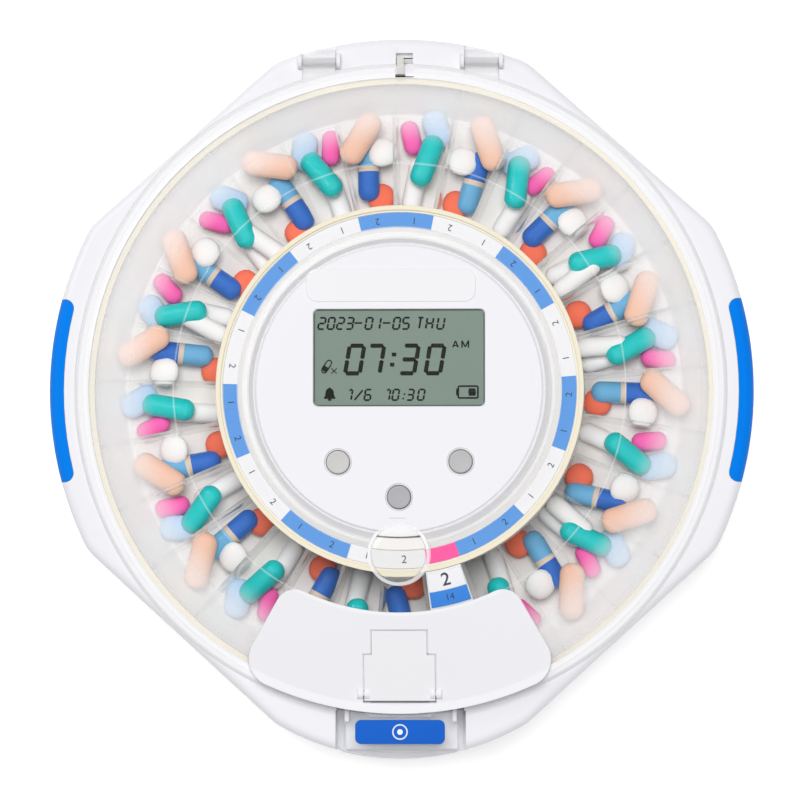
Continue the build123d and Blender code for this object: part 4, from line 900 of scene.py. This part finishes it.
# from x to x, radius to radius, and height above the slope, in mm
for x0, x1, r0, r1, w0, w1 in ((-10, 10, 76.5, 78.0, -0.6, 0.15), (-9.9, -8.4, 76.5, 84.6, -0.6, 0.15),
                               (8.4, 9.9, 76.5, 84.6, -0.6, 0.15), (-12.3, -8.4, 84.2, 85.6, -0.6, 0.15),
                               (8.4, 12.3, 84.2, 85.6, -0.6, 0.15), (-12.3, -10.7, 84.2, 95.0, -0.6, 0.15),
                               (10.7, 12.3, 84.2, 95.0, -0.6, 0.15), (-9.6, 9.6, 100.1, 101.15, -2.6, -2.0),
                               (-9.3, 9.3, 76.6, 77.06, 0.1, 1.8), (-9.3, -8.94, 76.8, 84.8, 0.1, 1.8),
                               (8.94, 9.3, 76.8, 84.8, 0.1, 1.8), (-11.9, -8.94, 84.3, 84.76, 0.1, 1.8),
                               (8.94, 11.9, 84.3, 84.76, 0.1, 1.8), (-11.9, -11.49, 84.5, 96.7, 0.1, 1.8),
                               (11.49, 11.9, 84.5, 96.7, 0.1, 1.8)):
    y0, y1 = (BEND_R - r1) / cos(SLOPE), (BEND_R - r0) / cos(SLOPE)
    middle = Vector(((x0 + x1) / 2, (y0 + y1) / 2, (w0 + w1) / 2)) * MM
    ledges.append(on_slope @ Matrix.Translation(middle) @ Matrix.Diagonal(((x1 - x0) * MM, (y1 - y0) * MM,
                                                                          (w1 - w0) * MM, 1)))
hatch_ledges = copies(ledge_model, ledges, "hatch_ledges")
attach(hatch_ledges, "lid")

# ---------------------------------------------------------------- press pad
# The press pad is a clear cap. A domed blue label with a plain mark is glued into it, and two coil
# springs on the posts lift it.

dress(see_through("pad_clear", (220, 221, 225), 0.16), "press_pad")
label_blue = moulded("press_label_blue", (26, 102, 206), (20, 94, 198), 0.3, gleam=0.2)
label_low, label_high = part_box("press_label")
label_middle = (label_low + label_high) / 2
label_size = label_high - label_low
label_place = (label_middle.x, label_middle.y, label_high.z)
label = rounded_sheet("press_label_sheet", label_place, label_size.x, label_size.y, 0.0019)
thicken(label, label_size.z)
soften(label, 0.00025, 3)
label.data.materials.append(label_blue)
bpy.ops.object.shade_smooth_by_angle(angle=radians(40))
label.select_set(False)
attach(label, "pad")
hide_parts("press_label")
bpy.ops.mesh.primitive_torus_add(major_radius=0.0023, minor_radius=0.00024, major_segments=40, minor_segments=8,
                                 location=label_place)
symbol = bpy.context.object
bpy.ops.mesh.primitive_cylinder_add(vertices=32, radius=0.0009, depth=0.00024, location=label_place)
spot = bpy.context.object
symbol.select_set(True)
spot.select_set(True)
bpy.context.view_layer.objects.active = symbol
bpy.ops.object.join()
bpy.ops.object.transform_apply(location=True, rotation=True, scale=True)
symbol.name = "press_symbol"
symbol.data.materials.append(printed_ink("symbol_white", (244, 246, 250)))
bpy.ops.object.shade_smooth_by_angle(angle=radians(40))
symbol.select_set(False)
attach(symbol, "pad")
spring_low, spring_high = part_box("press_springs")
SPRING_TURNS = 5
TUBE_R = 0.0025      # the plain spring in the CAD model
wire = 0.00032
coil_r = 0.0021
post_x = (spring_high.x - spring_low.x) / 2 - TUBE_R
spring_y = (spring_low.y + spring_high.y) / 2
for side, name in ((-1, "spring_left"), (1, "spring_right")):
    bpy.ops.mesh.primitive_circle_add(vertices=8, radius=wire, fill_type="NGON", rotation=(pi / 2, 0, 0),
                                      location=(coil_r, 0, wire))
    coil = bpy.context.object
    bpy.ops.object.transform_apply(location=True, rotation=True)
    bpy.ops.object.mode_set(mode="EDIT")
    bpy.ops.mesh.select_all(action="SELECT")
    bpy.ops.object.mode_set(mode="OBJECT")
    turning = coil.modifiers.new("turns", "SCREW")
    turning.angle = tau * SPRING_TURNS
    turning.screw_offset = spring_high.z - spring_low.z - 2 * wire
    turning.steps = 20 * SPRING_TURNS
    turning.render_steps = 20 * SPRING_TURNS
    bpy.ops.object.modifier_apply(modifier=turning.name)
    bpy.ops.object.mode_set(mode="EDIT")
    bpy.ops.mesh.select_all(action="SELECT")
    bpy.ops.mesh.normals_make_consistent(inside=False)
    bpy.ops.object.mode_set(mode="OBJECT")
    coil.data.transform(Matrix.Translation((side * post_x, spring_y, spring_low.z)))
    coil.name = name
    coil.data.materials.append(zinc)
    bpy.ops.object.shade_smooth_by_angle(angle=radians(60))
    coil.select_set(False)
    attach(coil, "lid")
    if side < 0:
        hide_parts("press_springs")
    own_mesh(coil)

# ---------------------------------------------------------------- lock
# A nickel-plated key cylinder at the rear moves a steel hook sideways over the lid's lip.

dress(brushed("nickel", (240, 238, 232), 0.16, 400), "lock_cylinder", "lock_collar", "lock_hook")

# ---------------------------------------------------------------- table, light and camera
# The object stands on a plain white table under large soft lamps, seen straight from above.


def shows_background(tree):
    """1 for rays to the camera, straight, mirrored or through clear plastic."""
    path = tree.nodes.new("ShaderNodeLightPath")
    seen = math_node(tree, "MAXIMUM", path.outputs["Is Camera Ray"], path.outputs["Is Transmission Ray"])
    return math_node(tree, "MAXIMUM", seen, path.outputs["Is Glossy Ray"])


bpy.ops.mesh.primitive_plane_add(size=6, location=(0, 0, -0.0001))
table = bpy.context.object
table.name = "table"
tabletop, tree, matt = new_material("tabletop")
matt.inputs["Base Color"].default_value = (0.9, 0.9, 0.9, 1)
matt.inputs["Roughness"].default_value = 0.9
glow = tree.nodes.new("ShaderNodeEmission")
glow.inputs["Strength"].default_value = 0.5
dark = tree.nodes.new("ShaderNodeEmission")
dark.inputs["Strength"].default_value = 0
lit = tree.nodes.new("ShaderNodeMixShader")
tree.links.new(shows_background(tree), lit.inputs[0])
tree.links.new(dark.outputs[0], lit.inputs[1])
tree.links.new(glow.outputs[0], lit.inputs[2])
added = tree.nodes.new("ShaderNodeAddShader")
tree.links.new(matt.outputs[0], added.inputs[0])
tree.links.new(lit.outputs[0], added.inputs[1])
tree.links.new(added.outputs[0], tree.nodes["Material Output"].inputs["Surface"])
table.data.materials.append(tabletop)
table.select_set(False)

SKY = 0.17
world = bpy.data.worlds.new("studio")
bpy.context.scene.world = world
world.use_nodes = True
tree = world.node_tree
sky = tree.nodes["Background"]
sky.inputs["Color"].default_value = (1, 1, 1, 1)
tree.links.new(math_node(tree, "MULTIPLY_ADD", shows_background(tree), 1 - SKY, SKY), sky.inputs["Strength"])

for name, place, watts, size, mirrored in (("overhead", (0.0, 0.55, 2.55), 47.0, 1.2, False),
                                           ("side", (-0.9, 0.6, 1.0), 3.4, 0.8, True),
                                           ("front", (0.5, -0.9, 0.9), 2.6, 0.8, False)):
    lamp = bpy.data.lights.new(name, "AREA")
    lamp.energy = watts
    lamp.size = size
    holder = bpy.data.objects.new(name, lamp)
    holder.location = place
    holder.rotation_euler = (-Vector(place)).to_track_quat("-Z", "Y").to_euler()
    holder.visible_glossy = mirrored
    holder.visible_transmission = mirrored
    bpy.context.collection.objects.link(holder)

PIXELS = 800
PIXELS_PER_MM = 3.104
CENTRE_PX = (400.3, 389.7)       # where the tray's axis is in the picture
DISTANCE = 2.0
lid_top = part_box("lid_shell")[1].z
view_width = PIXELS / PIXELS_PER_MM * MM
drop = DISTANCE - 0.75 * lid_top   # down to the height at which PIXELS_PER_MM holds
lens = bpy.data.cameras.new("camera")
lens.sensor_width = 36
lens.lens = lens.sensor_width * drop / view_width
eye = bpy.data.objects.new("camera", lens)
aim_x = AXIS.x + (PIXELS / 2 - CENTRE_PX[0]) / PIXELS_PER_MM * MM
aim_y = AXIS.y + (CENTRE_PX[1] - PIXELS / 2) / PIXELS_PER_MM * MM
ASIDE = (0.08, -0.07)            # the camera stands a little beside the middle and tilts back to it
eye.location = (aim_x + ASIDE[0], aim_y + ASIDE[1], DISTANCE)
eye.rotation_euler = (atan2(-ASIDE[1], drop), atan2(ASIDE[0], drop), 0)
bpy.context.collection.objects.link(eye)
bpy.context.scene.camera = eye
bpy.context.scene.view_settings.view_transform = "Standard"
